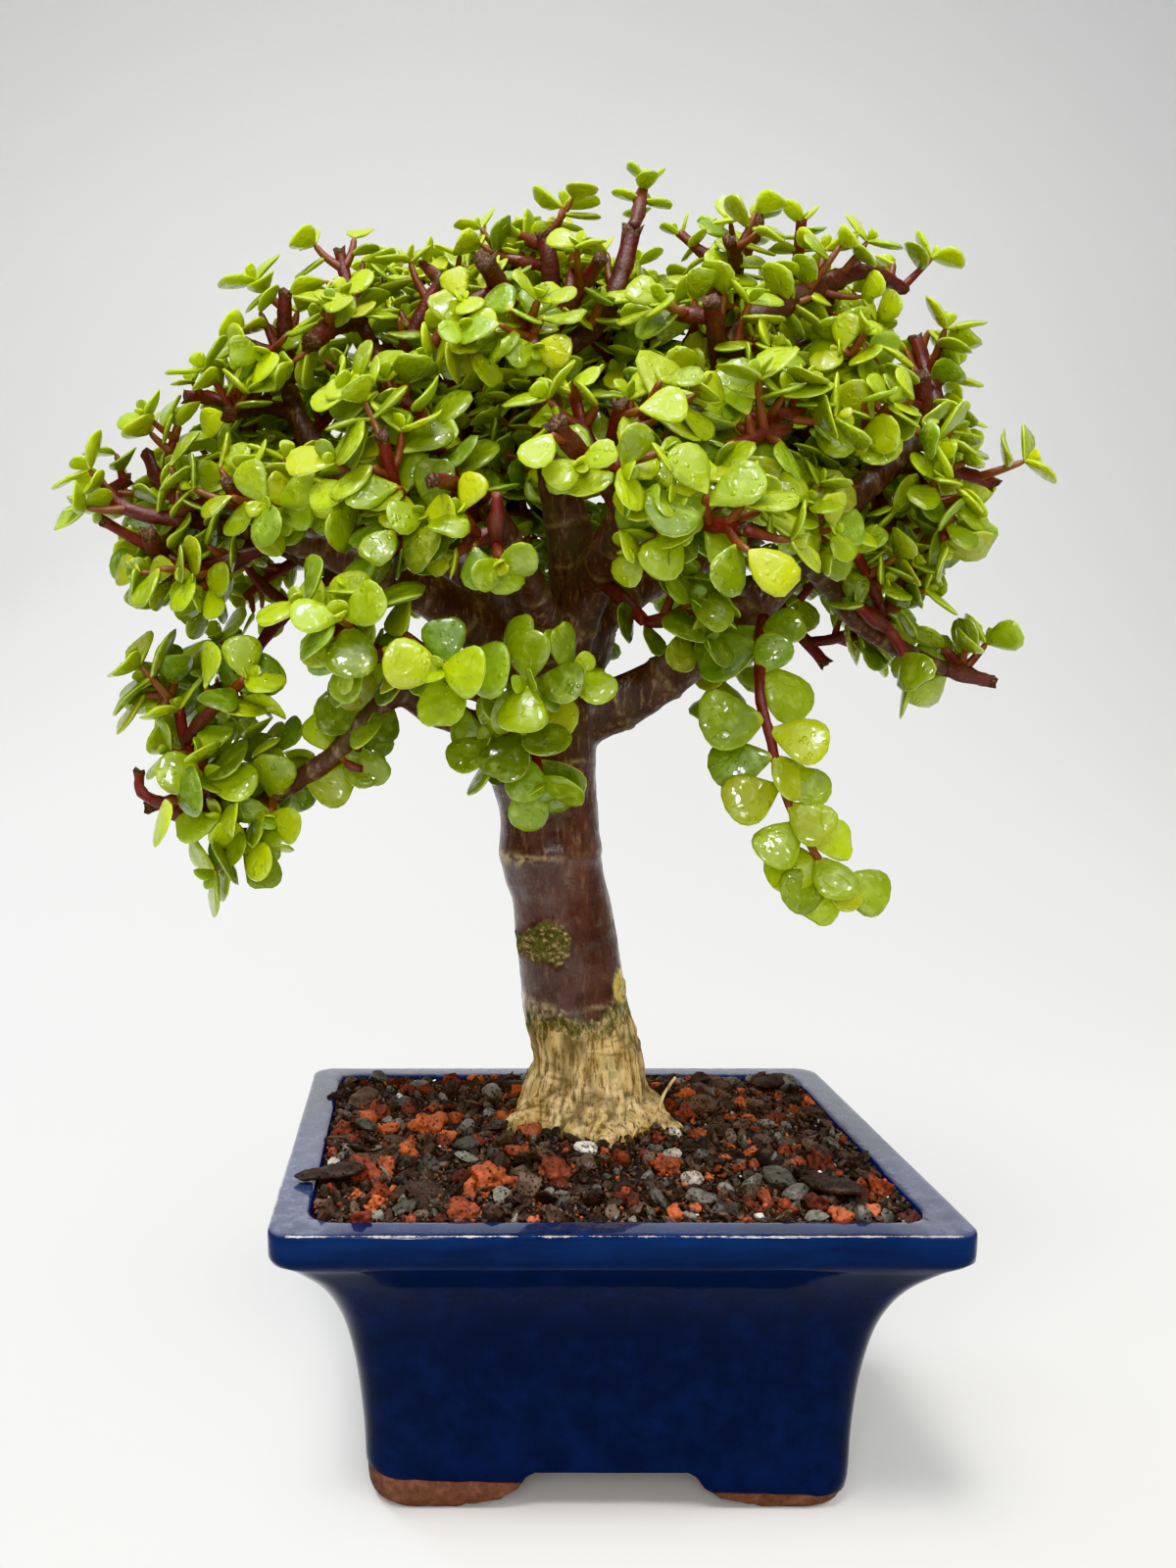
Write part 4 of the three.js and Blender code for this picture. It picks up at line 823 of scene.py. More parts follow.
def leafyStems(wood, blades, stems):
    # leaf pairs straight on the outer part of each stem, each a quarter turn from the last; a ladder has
    # them to its tip, in even steps, and they hardly turn to the light
    shoots = []
    for stem in stems[1:]:
        if filling["thin"].get(stem["group"], 0) > filling["gone"]:
            continue
        fine = smooth(stem["line"], 4)
        length = lengthsOf(fine)
        random = makeRandom(400000 + stem["seed"])
        turned = between(random, 0, math.pi)
        isLadder = stem["seed"] in ladders
        toLight = 0.05 if isLadder else leaf["toLight"]
        away = filling["bare"] + 1.5 * stem["radius"] if stem["cut"] else 0.5 * length[-1] + 4
        away = 1.2 if isLadder else away
        made = []
        for k in range(filling["pairs"]):
            share = (length[-1] - away) / length[-1]
            if share < filling["inner"]:
                break
            i = int(np.searchsorted(length, share * length[-1])) - 1
            step = fine[i + 1, :3] - fine[i, :3]
            at = fine[i, :3] + step * (share * length[-1] - length[i]) / (length[i + 1] - length[i])
            along = unit(step)
            along = unit(along * [1, 0.3, 1] + 0.5 * upwards) if isLadder else along
            size = sizeAt(at[2])
            for half in (0, math.pi):
                azimuth = turned + k * (math.pi / 2) + half
                grown = size * between(random, 0.66, 0.8) * min(1, 0.8 + 0.08 * k) * 1.2
                grown = (grown + 0.7 * stem["radius"]) * (0.85 if isLadder else 1)
                tilt = 1.4 - 0.6 * (k == 0) if isLadder else 1.35
                owner = stem["owner"]
                blade = placeLeaf(random, blades, wood, at, along, azimuth, tilt, grown, owner, toLight)
                if blade:
                    made.append({**blade, "atTip": isLadder and k == 0})
            away += between(random, *filling["ladderGap" if isLadder else "pairGap"])
        whole = {"stem": stem, "line": stem["line"], "owner": stem["owner"], "order": 50, "leaves": made}
        shoots.append(whole)
    return shoots


def fillShoots(wood, blades, stems, shoots):
    # side shoots at random places and turns, where nothing is in the way and leaves fit on
    for stem in stems[1:]:
        if stem["group"] in filling["thin"] or stem["seed"] in ladders:
            continue
        random = makeRandom(500000 + stem["seed"])
        for k in range(filling["backTries" if stem["group"] > len(frontTips) else "tries"]):
            whole = between(random, filling["first"], filling["last"]) * (len(stem["line"]) - 1)
            azimuth = between(random, 0, 2 * math.pi)
            reach = between(random, filling["short"], filling["long"])
            twig = sideTwig(stem, whole, azimuth, reach, filling)
            size = leaf["length"] * between(random, 0.72, 1)
            if wood.crosses(twig, [stem["owner"]], stem["radius"] + 1):
                continue
            owner = stem["owner"] + 500 + k
            grown = leafyShoot(random, blades, wood, twig, owner, size)
            if not grown:
                continue
            wood.add(twig, owner)
            shoots.append({"stem": stem, "line": twig, "owner": owner, "order": 100 + k, "leaves": grown})


def clearStubs(stems, shoots):
    # no leaf hides the last stretch of a pruned stem: none stands beside it, and in front none crosses the
    # way from it to the eye, where leaves and stretches are compared as flat marks at the stretch's distance
    stubs = [stem for stem in stems if stem["cut"]]
    number = np.array([stem["group"] for stem in stubs])
    inFront = number <= len(frontTips)
    ends = np.array([stem["line"][-1, :3] for stem in stubs])
    ways = np.array([directionAt(stem["line"], len(stem["line"]) - 1) for stem in stubs])
    radii = np.array([stem["radius"] for stem in stubs])
    eye = np.array(view["place"])
    far = (ends - eye)[:, 1]
    flatEnds = (ends - eye)[:, [0, 2]]
    (near, nearMore), (other, otherMore) = filling["nearStub"], filling["farStub"]
    bare = np.where(number < closest, near + nearMore * radii, other + otherMore * radii)
    low = ends - ways * bare[:, None] - eye
    flatWays = flatEnds - low[:, [0, 2]] * (far / low[:, 1])[:, None]
    for one in shoots:
        kept = []
        for blade in one["leaves"]:
            middle = blade["base"] + blade["along"] * blade["length"] * leaf["discAt"]
            apart = middle - ends
            beyond = (apart * ways).sum(1)
            away = np.linalg.norm(apart - beyond[:, None] * ways, axis=1)
            hides = (beyond > -filling["bare"] - 2 * radii) & (beyond < filling["beyond"])
            hides &= away < filling["beside"] + radii
            seen = middle - eye
            flat = seen[[0, 2]] * (far / seen[1])[:, None] - flatEnds
            back = np.clip((flat * flatWays).sum(1) / (flatWays**2).sum(1), -1, 0)
            beside = np.linalg.norm(flat - back[:, None] * flatWays, axis=1)
            hides |= inFront & (seen[1] < far) & (beside < 0.32 * blade["length"] + 0.5 * radii)
            if not hides.any():
                kept.append(blade)
        enough = max(filling["kept"] * len(one["leaves"]), filling["leafy"] * spanOf(one["line"]))
        one["leaves"] = kept if one["owner"] == one["stem"]["owner"] or len(kept) >= enough else []


def thinOut(shoots):
    # the low branchlets carry fewer leaves: whole shoots go first to last by a fixed draw
    for one in shoots:
        share = filling["thin"].get(one["stem"]["group"], 0)
        if share and one["order"] != shoot["ownEnd"] and makeRandom(600000 + one["owner"])() < share:
            one["leaves"] = []


def addTipPairs(shoots):
    # a tiny upright pair in the middle of each shoot's last pair
    for one in shoots:
        pair = [blade for blade in one["leaves"] if blade["atTip"]]
        if len(pair) < 2:
            continue
        random = makeRandom(700000 + one["owner"])
        along = directionAt(one["line"], len(one["line"]) - 1)
        across = unit(np.cross(along, pair[0]["along"]))
        outer = np.cross(across, along)
        for sign in (-1, 1):
            lean = between(random, *tipPair["lean"])
            side = across * sign + outer * between(random, *tipPair["sway"])
            one["leaves"].append({
                "base": one["line"][-1, :3] + along * tipPair["lift"],
                "along": unit(along * math.cos(lean) + side * math.sin(lean)),
                "normal": unit(along * math.sin(lean) - side * math.cos(lean)),
                "length": pair[0]["length"] * tipPair["length"] * between(random, *tipPair["vary"]),
                "atTip": True,
            })


# leaves of the hanging twig: share along it, angle in the picture plane in degrees (0 right, 90 up), length
hangingLeaves = [
    [0.04, 210, 14], [0.08, 30, 13], [0.1, 186, 18], [0.17, 310, 18], [0.2, 60, 12], [0.36, 188, 18],
    [0.4, 335, 15.5], [0.5, 184, 17], [0.5, 300, 13], [0.58, 345, 14], [0.62, 200, 16], [0.68, 318, 13.5],
    [0.74, 228, 15], [0.78, 12, 13], [0.84, 300, 13.5], [0.88, 172, 15], [0.97, 200, 15.5], [0.96, 290, 10],
    [1, 232, 13], [1, 338, 14],
]
# and of the low limb at the left: the same values, along the limb
limbLeaves = [
    [0.6, 322, 15], [0.62, 118, 13], [0.63, 84, 11], [0.72, 352, 15], [0.9, 318, 14], [0.86, 100, 12],
    [0.3, 100, 14], [0.34, 70, 13], [0.37, 128, 15], [0.41, 96, 15], [0.42, 262, 13], [0.45, 150, 16],
    [0.46, 120, 15], [0.5, 172, 15], [0.5, 292, 12], [0.54, 140, 14],
]


def sideLeaves(line, rows, seed, lift):
    random = makeRandom(seed)
    made = []
    for share, angle, size in rows:
        at, _ = pointAt(line, share * (len(line) - 1))
        turn = math.radians(angle)
        out = np.array([math.cos(turn), between(random, -0.5, -0.1), math.sin(turn)])
        normal = unit([between(random, -0.3, 0.3), -1, lift + between(random, -0.15, 0.3)])
        out = unit(out - normal * (out @ normal))
        made.append({"base": at, "along": out, "normal": normal, "length": size, "atTip": True})
    return made


def addLowLeaves(stems, shoots):
    # the leaves of the hanging twig and of the bare low limb are placed one by one
    for one in shoots:
        if one["stem"]["group"] == 0:
            one["leaves"] = []
    lowStem = next(stem for stem in stems if stem["group"] == lowGroup)
    for stem, line, rows, seed, lift in (
        (stems[0], stems[0]["line"], hangingLeaves, 31, 0.35),
        (lowStem, smooth(limbs[lowLimb], 3), limbLeaves, 32, 0.1),
    ):
        made = sideLeaves(line, rows, seed, lift)
        shoots.append({"stem": stem, "line": line, "owner": stem["owner"], "order": 60, "leaves": made})


# leaves as solids

leafShape = {
    "stations": [0.03, 0.16, 0.38, 0.62, 0.84, 0.96],  # shares of the length
    "close": [0.03, 0.13, 0.3, 0.48, 0.66, 0.81, 0.91, 0.97],  # and on the branchlets nearest to the eye
    # the section from the right edge over the upper face and back under: shares of half width and thickness
    "section": [[1, 0], [0.9, 0.7], [0.55, 1], [-0.55, 1], [-0.9, 0.7], [-1, 0], [-0.55, -0.95],
                [0.55, -0.95]],
    "heelPower": [0.72, 1.1],  # a leaf is widest at this power over its sum with the tip's power
    "tipPower": 0.45,
    # ranges of what differs from leaf to leaf; width and wave are shares of the length
    "width": [0.38, 0.48],
    "skew": [-0.09, 0.09],
    "twist": [-0.3, 0.3],
    "cup": [-0.12, 0.24],
    "bow": [-0.16, 0.16],
    "wave": [0, 0.05],
    "plump": [0.7, 0.95],
    "notched": 0.3,  # share of the leaves with a notch in the tip
}


def leafSolids(leaves, seed, stations):
    # half width u^a (1 - u)^0.45 and half thickness (u + 0.02)^0.35 (1 - u)^0.4 along a leaf, each as a share
    # of its largest; the blade is cupped by its width squared and bowed by its length squared
    count = len(leaves)
    draw = np.random.default_rng(seed)
    field = {key: np.array([one[key] for one in leaves]) for key in ("base", "along", "normal", "length")}
    across = np.cross(field["normal"], field["along"])
    length = field["length"][:, None, None]
    u = np.array(stations)
    sideways, face = np.array(leafShape["section"]).T
    thick = ((u + 0.02) ** 0.35 * (1 - u) ** 0.4 / 0.58)[None, :, None]
    u = u[None, :, None]

    def vary(low, high, power=1.0):
        return (low + (high - low) * draw.random(count) ** power)[:, None, None]

    power = vary(*leafShape["heelPower"])
    widest = power / (power + leafShape["tipPower"])
    wide = u**power * (1 - u) ** leafShape["tipPower"]
    wide = np.maximum(wide / (widest**power * (1 - widest) ** leafShape["tipPower"]), 0.12)
    width = vary(*leafShape["width"])
    skew, twist = vary(*leafShape["skew"]), vary(*leafShape["twist"])
    cup, bow = vary(*leafShape["cup"]), vary(*leafShape["bow"])
    wave, phase = vary(*leafShape["wave"], 2), vary(0, 6.28)
    isNotched = draw.random(count) < leafShape["notched"]
    notch = np.where(isNotched, draw.random(count), 0)[:, None, None]
    plump = vary(*leafShape["plump"]) * leaf["thick"] * (length / 13) ** 0.6
    x = sideways * (1 + skew * np.sign(sideways)) * width * length * wide
    y = face * plump * 0.5 * thick
    half = width * length
    lift = y + cup * x * x / half + bow * length * u * u + twist * x * u
    lift = lift + wave * length * np.sin(6 * u + phase) * (x / half) ** 2
    forward = length * (u + notch * (u > 0.8) * 0.04 * np.abs(sideways)) + 0 * x
    ring = (
        field["base"][:, None, None]
        + field["along"][:, None, None] * forward[..., None]
        + across[:, None, None] * x[..., None]
        + field["normal"][:, None, None] * lift[..., None]
    )
    rows, columns = ring.shape[1:3]
    each = rows * columns + 2
    tipShift = (-0.06 * notch + 0.012)[:, 0, 0] * field["length"] + field["length"]
    tipLift = (bow * length)[:, 0, 0]
    heel = field["base"] - field["along"] * 0.02 * field["length"][:, None]
    tip = field["base"] + field["along"] * tipShift[:, None] + field["normal"] * tipLift[:, None]
    points = np.concatenate([ring.reshape(count, -1, 3), heel[:, None], tip[:, None]], axis=1)
    first = (np.arange(count) * each)[:, None, None]
    quads = gridFaces(rows, columns)[None] + first
    triangles = capFaces(rows, columns)[None] + first

    def forPoints(value):
        # a value of each station or section place as one for each point, with 0 at the heel and 1 at the tip
        spread = np.broadcast_to(value, ring.shape[:3]).reshape(count, -1)
        return np.concatenate([spread, [[0, 1]] * count], axis=1).ravel()

    values = {
        "leafTone": np.repeat([one["tone"] for one in leaves], each),
        "leafAlong": forPoints(u),
        "leafRim": forPoints(np.abs(sideways) ** 3),
        "leafRandom": np.repeat(draw.random(count), each),
    }
    return points.reshape(-1, 3), quads.reshape(-1, 4), triangles.reshape(-1, 3), values


def toneOf(blade, random):
    # outer and upper leaves are lighter and inner and lower ones darker, partly the leaves' age and partly
    # painted shade of the crown; those near a shoot's tip are the freshest, and so the lightest
    way = (blade["base"] - crownMiddle) / [crown["reachX"], crown["reachY"], leafTone["reachUp"]]
    depth = min(float(np.linalg.norm(way)), leafTone["outmost"])
    shadeAndAge = leafTone["deep"] + leafTone["depth"] * depth + leafTone["height"] * float(way[2])
    return shadeAndAge + leafTone["tip"] * blade["atTip"] + between(random, *leafTone["vary"])


# stems and side shoots as solids

twigShape = {
    "sides": 8,
    "step": 2,  # between rings along a stem
    "nodeSwell": 0.2,
    "nodeLength": 1.0,
    "nodeGap": 9.5,  # between the older nodes, below those that carry shoots
    "stub": 3.2,  # length of the dry end of a pruned stem
    "wobble": 0.9,  # how far a stem strays from its line
    "shootSides": 6,
}


def stemSolid(stem, seed):
    # a tube along the stem's wavering line: it swells at its nodes, is uneven all over, and a pruned end
    # flares to a ragged lip round a hollow middle; the values are its age, dryness and nodes
    line, isCut, sides = stem["line"], stem["cut"], twigShape["sides"]
    cuts = max(2, math.ceil(spanOf(line) / (len(line) - 1) / twigShape["step"]))
    fine = smooth(line, cuts)
    length = lengthsOf(fine)
    full = length[-1]
    count, first, last = nodesOf(stem)
    nodes = np.linspace(first, last, count) * full
    older = np.arange(nodes[0] - twigShape["nodeGap"], 2, -twigShape["nodeGap"])
    apart = length[:, None] - np.concatenate([nodes, older])[None]
    swell = twigShape["nodeSwell"] * np.exp(-((apart / twigShape["nodeLength"]) ** 2)).sum(1)
    wobble = np.stack([noise(fine[:, :3], 14, seed + 3 * k) for k in range(3)], axis=1)
    ease = np.sin(np.pi * np.linspace(0, 1, len(fine)))[:, None]
    fine[:, :3] += wobble * ease * twigShape["wobble"]
    angle = np.arange(sides)
    spread = 0.95 + swell[:, None] + 0.05 * np.sin(angle * 2.1 + length[:, None] * 0.3 + seed)
    dry = np.clip((length - full + twigShape["stub"]) / twigShape["stub"], 0, 1) * isCut
    around = 4 * np.cos(angle * 0.785), 4 * np.sin(angle * 0.785)
    spread = spread + 0.09 * noise(np.stack(np.broadcast_arrays(length[:, None], *around), -1), 2.6, seed)
    ragged = 0.13 * np.sin(angle * 3.7 + seed) + 0.1 * np.sin(angle * 1.9 + seed * 2)
    spread = spread + dry[:, None] ** 2 * (0.2 + ragged[None])
    points, quads, triangles, _ = tube(fine, sides, spread)
    if isCut:
        end = directionAt(fine, len(fine) - 1)
        lip = slice((len(fine) - 1) * sides, len(fine) * sides)
        points[lip] += end * (ragged[:, None] * 2.4 * fine[-1, 3])
        points[-1] -= end * 0.45 * fine[-1, 3]
    age = np.clip((fine[:, 3] - 1.3) / 1.9, 0, 1) * 0.6 + 0.35 * (1 - length / full)
    values = np.stack([
        np.concatenate([np.repeat(age, sides), age[[0, -1]]]),
        np.concatenate([np.repeat(dry, sides), [0, isCut]]),
        np.concatenate([np.repeat(np.clip(swell / twigShape["nodeSwell"], 0, 1), sides), [0, 0]]),
    ], axis=1)
    return points, quads, triangles, values


def shootSolid(one):
    fine = smooth(one["line"], 3)
    sides = twigShape["shootSides"]
    spread = np.repeat(np.linspace(1.3, 1, len(fine))[:, None], sides, axis=1)
    spread[-1] = 0.6
    points, quads, triangles, share = tube(fine, sides, spread)
    return points, quads, triangles, np.stack([0.1 * (1 - share), 0 * share, 0 * share], axis=1)


def growCrown():
    wood = Wood()
    stems = growStems(wood)
    shoots = growShoots(wood, stems)
    blades = Blades()
    direct = leafyStems(wood, blades, stems)
    growLeaves(wood, blades, shoots)
    shoots += direct
    fillShoots(wood, blades, stems, shoots)
    thinOut(shoots)
    clearStubs(stems, shoots)
    addTipPairs(shoots)
    addLowLeaves(stems, shoots)
    print("crown:", len(stems), "stems and", len(shoots), "shoots")
    return stems, shoots


def makeBranchlets(leafMaterial, twigMaterial):
    stems, shoots = growCrown()
    count = 0
    for group in range(1 + max(stem["group"] for stem in stems)):
        name = f"branchlet_{group + 1:02d}"
        ownStems = [stem for stem in stems if stem["group"] == group]
        ownShoots = [one for one in shoots if one["stem"]["group"] == group and one["leaves"]]
        solids = [stemSolid(stem, stem["seed"]) for stem in ownStems]
        solids += [shootSolid(one) for one in ownShoots if one["owner"] != one["stem"]["owner"]]
        points, quads, triangles, values = joinParts(solids)
        labels = dict(zip(("twigAge", "twigDry", "twigNode"), values.T))
        mesh = newMesh(name + "_twigs", points, quads, triangles, labels)
        newPiece(name + "_twigs", mesh, twigMaterial, "twigs", name)
        leaves = []
        for one in ownShoots:
            random = makeRandom(800000 + one["owner"])
            for blade in one["leaves"]:
                leaves.append({**blade, "tone": toneOf(blade, random)})
        stations = leafShape["close" if group < closest else "stations"]
        points, quads, triangles, labels = leafSolids(leaves, 9000 + group, stations)
        mesh = newMesh(name + "_leaves", points, quads, triangles, labels)
        newPiece(name + "_leaves", mesh, leafMaterial, "leaves", name)
        count += len(leaves)
    print("branchlets:", group + 1, "with", count, "leaves")


# trunk, roots and limbs: one skin over all of them

bark = {
    "voxel": 1.17,
    "sides": 20,
    "rounds": 7,  # of smoothing after the remesh, and the share that each moves a point
    "share": 0.55,
    "corkBelow": 112.5,  # the lower trunk is cracked cork, the skin above it is smooth
    "corkDeep": 0.75,
    "corkLumps": 0.3,
    "corkFine": 0.4,
    "frayed": 0.45,  # relief of the cork's upper edge
    "skinLumps": [0.3, 0.12],  # wide and narrow
    "rings": [[116.3, 0.25], [160, 0.6], [187, 0.3]],  # old leaf rings: height, rise
    "ringSlope": 0.08,
    "limbRings": [7, 1.1],  # distance between the rings of a limb: mm, and times its radius
    "scar": [-12.5, 134.5, 8.8, 6.8],  # x, z and half sizes of an old wound in front
    "limbScar": [-89.6, -5, 180, 3.6],  # x, y, z and reach of a dark node on the low limb
    "dimples": [[2, 132.5, 1.6], [4.5, 139, 1.1]],  # x, z and radius
    # x, y, z and radius along the stub of a cut limb
    "stub": [[0, 13, 118.6, 4.4], [7, 11.5, 120, 4.2], [11, 10.6, 120.8, 3.6]],
    "stubReach": 5.2,
}


def woodLines():
    # the trunk first, then the roots, then the limbs
    return [smooth(line, 3) for line in [trunkLine, *roots, *limbs]]


def skinOver(solids):
    # the solids joined by a voxel remesh
    points, quads, triangles, _ = joinParts(solids)
    rough = newObject("skin", newMesh("skin", points, quads, triangles))
    remesh = rough.modifiers.new("remesh", "REMESH")
    remesh.mode = "VOXEL"
    remesh.voxel_size = bark["voxel"] * mm
    done = finalMesh(rough)
    bpy.data.objects.remove(rough)
    return done, (readRows(done.vertices, "co", 3).astype(float) - potMiddle) / mm


def relax(points, edges, rounds, share):
    # each point moves a share of the way to the mean of its neighbours
    neighbours = np.bincount(edges.ravel(), minlength=len(points))[:, None]
    for _ in range(rounds):
        total = np.zeros_like(points)
        for axis in range(3):
            total[:, axis] = np.bincount(edges[:, 0], points[edges[:, 1], axis], len(points))
            total[:, axis] += np.bincount(edges[:, 1], points[edges[:, 0], axis], len(points))
        points = points + share * (total / neighbours - points)
    return points


def nearestWood(points, lines):
    # for each point the nearest line: its number, its radius there and the share along it
    best = np.full(len(points), 1e9)
    number = np.zeros(len(points), int)
    radius = np.zeros(len(points))
    along = np.zeros(len(points))
    for n, line in enumerate(lines):
        for i in range(len(line) - 1):
            a, b = line[i], line[i + 1]
            way = b[:3] - a[:3]
            t = np.clip(((points - a[:3]) @ way) / (way @ way), 0, 1)
            thick = a[3] + (b[3] - a[3]) * t
            apart = np.linalg.norm(points - a[:3] - t[:, None] * way, axis=1) - thick
            closer = apart < best
            best = np.where(closer, apart, best)
            number = np.where(closer, n, number)
            radius = np.where(closer, thick, radius)
            along = np.where(closer, (i + t) / (len(line) - 1), along)
    return number, radius, along


def makeRootlet(material):
    # a thin dry rootlet at the trunk's foot, with its side branch
    longer = [[11, -3, 77, 0.8], [12, -4, 81.5, 0.75], [16, -5, 84, 0.65], [19, -5, 88, 0.55],
              [21, -4, 93, 0.5], [24.3, -4, 98, 0.4]]
    shorter = [[16, -5, 84, 0.5], [13, -8, 85, 0.5], [10.5, -9.5, 82, 0.45], [8, -10, 79, 0.4]]
    points, quads, triangles, _ = joinParts([tube(smooth(line, 5), 7) for line in (longer, shorter)])
    mesh = newMesh("rootlet", points, quads, triangles, {"woodCork": np.ones(len(points))})
    newPiece("rootlet", mesh, material, "bark", "trunk_and_limbs")


def movePoints(mesh, points):
    mesh.vertices.foreach_set("co", toFrame(points).astype(np.float32).ravel())
    mesh.update()


def corkRelief(points, radius, onTrunk):
    # cracked cork up to a frayed edge, and gently uneven skin above it; gives the relief, and where the
    # cork, its edge and its cracks are
    height = points[:, 2]
    edge = bark["corkBelow"] + 1.5 * noise(points, 9, 5) + 3 * noise(points / [1.6, 1.6, 6], 1, 6)
    edge += 0.45 * np.clip(points[:, 0] - 3, 0, 9)
    cork = np.clip((edge - height) / 4, 0, 1)
    fringe = np.exp(-(((height - edge + 2) / 5.5) ** 2)) * onTrunk
    crack = np.clip(1 - np.abs(noise(points / [3.1, 3.1, 14], 1, 11)) * 2.6, 0, 1) ** 2
    fine = np.clip(1 - np.abs(noise(points / [1.9, 1.9, 7], 1, 12)) * 2.2, 0, 1) ** 2
    lump = noise(points, 6.5, 13)
    push = cork * (bark["corkLumps"] * lump - bark["corkDeep"] * crack - bark["corkFine"] * fine)
    flakes, frays = noise(points / [7, 7, 1.5], 1, 15), noise(points / [1.6, 1.6, 3], 1, 16)
    push += cork * bark["corkLumps"] * flakes + fringe * bark["frayed"] * frays
    wide, narrow = bark["skinLumps"]
    lump = wide * noise(points, 9, 21) + narrow * noise(points, 3, 22)
    push += (1 - cork) * lump * np.clip(radius / 8, 0.25, 1)
    return push, cork, fringe, crack * cork


def ringRelief(points, push, radius, along, lines, number):
    # old leaf rings: three wide ones on the trunk, and thin ones along the limbs
    height, onTrunk, onLimb = points[:, 2], number == 0, number > len(roots)
    mark = np.zeros(len(points))
    middle = np.interp(height, [row[2] for row in trunkLine], [row[0] for row in trunkLine])
    leftward = np.clip((middle - 4 - points[:, 0]) / 6, 0, 1)
    thin = 0.5 + 1.3 * leftward
    for level, rise in bark["rings"]:
        away = height - level - 1.0 * noise(points, 9, 31) - bark["ringSlope"] * (points[:, 0] - middle)
        ring = np.exp(-((away / thin) ** 2)) * onTrunk
        push += rise * np.exp(-((away / 2.6) ** 2)) * onTrunk - 0.25 * ring * rise
        mark = np.maximum(mark, ring * (0.5 + 0.5 * leftward))
    length = np.array([np.linalg.norm(np.diff(line[:, :3], axis=0), axis=1).sum() for line in lines])[number]
    gap = bark["limbRings"][0] + radius * bark["limbRings"][1]
    whole = along * length / gap
    ring = np.exp(-((np.abs(whole - np.round(whole)) * gap / 0.8) ** 2)) * onLimb
    push += ring * 0.07 * radius + onLimb * 0.035 * radius * noise(points, 4, 45)
    return np.maximum(mark, ring * 0.35)


def scarRelief(points, push, onTrunk):
    # a wound in front, a dark node on the low limb, and small dimples
    height = points[:, 2]
    x, z, halfWidth, halfHeight = bark["scar"]
    apart = np.hypot((points[:, 0] - x) / halfWidth, (height - z) / halfHeight) + 0.3 * noise(points, 4, 41)
    wound = np.clip((1.05 - apart) * 3, 0, 1) * (points[:, 1] < 14) * onTrunk
    push += wound * (0.9 * np.exp(-(((apart - 0.75) / 0.3) ** 2)) - 0.2 + 0.75 * noise(points, 2, 42))
    *place, reach = bark["limbScar"]
    apart = np.linalg.norm(points - place, axis=1) / reach + 0.3 * noise(points, 2, 46)
    node = np.clip((1.05 - apart) * 3, 0, 1)
    push += node * (0.5 + 0.6 * noise(points, 1.9, 47))
    dimple = np.zeros(len(points))
    for x, z, reach in bark["dimples"]:
        apart = np.hypot(points[:, 0] - x, height - z) / reach
        dimple = np.maximum(dimple, np.exp(-(apart**2)) * (points[:, 1] < 12))
    push -= 0.7 * dimple
    return np.maximum(wound, node), dimple


def cutRelief(points, push, stub):
    way = stub[-1, :3] - stub[0, :3]
    beyond = (points - stub[0, :3]) @ way / (way @ way)
    apart = np.linalg.norm(points - stub[0, :3] - np.clip(beyond, 0, 1)[:, None] * way, axis=1)
    cutFace = np.clip((beyond - 0.55) * 2.5 + 0.4 * noise(points, 1.6, 44), 0, 1)
    cutFace *= apart < bark["stubReach"]
    push += cutFace * 0.8 * noise(points, 2.2, 43)
    return cutFace


def makeTrunk(material):
    # a skin over tubes along every line, moved in or out by its relief
    lines, stub = woodLines(), np.array(bark["stub"], float)
    solids = [tube(line, bark["sides"]) for line in lines] + [tube(smooth(stub, 4), 16)]
    mesh, points = skinOver(solids)
    points = relax(points, readRows(mesh.edges, "vertices", 2, np.int32), bark["rounds"], bark["share"])
    number, radius, along = nearestWood(points, lines)
    movePoints(mesh, points)
    normals = readRows(mesh.vertex_normals, "vector", 3)
    height, onTrunk = points[:, 2], number == 0
    push, cork, fringe, crack = corkRelief(points, radius, onTrunk)
    mark = ringRelief(points, push, radius, along, lines, number)
    scar, dimple = scarRelief(points, push, onTrunk)
    cutFace = cutRelief(points, push, stub)
    points = points + normals * push[:, None]
    mesh.polygons.foreach_set("use_smooth", np.ones(len(mesh.polygons), bool))
    movePoints(mesh, points)
    high = np.clip((height - 186) / 16, 0, 1) * (points[:, 0] > -60)
    high = np.maximum(high, (number > len(roots)) & (height > 205))
    age = np.clip((radius - 3) / 7, 0, 1) * (1 - 0.6 * high)
    addValues(mesh, {
        "woodCork": cork,
        "woodAge": age,
        "woodMark": mark,
        "woodScar": scar,
        "woodCut": cutFace,
        "woodFringe": fringe,
        "woodCrack": np.maximum(crack, dimple),
    })
    mesh.name = "trunk_skin"
    print("trunk:", len(mesh.vertices), "points")
    makeRootlet(material)
    newPiece("trunk_skin", mesh, material, "bark", "trunk_and_limbs")


# the pot: a glazed shell over a clay body whose feet stay bare

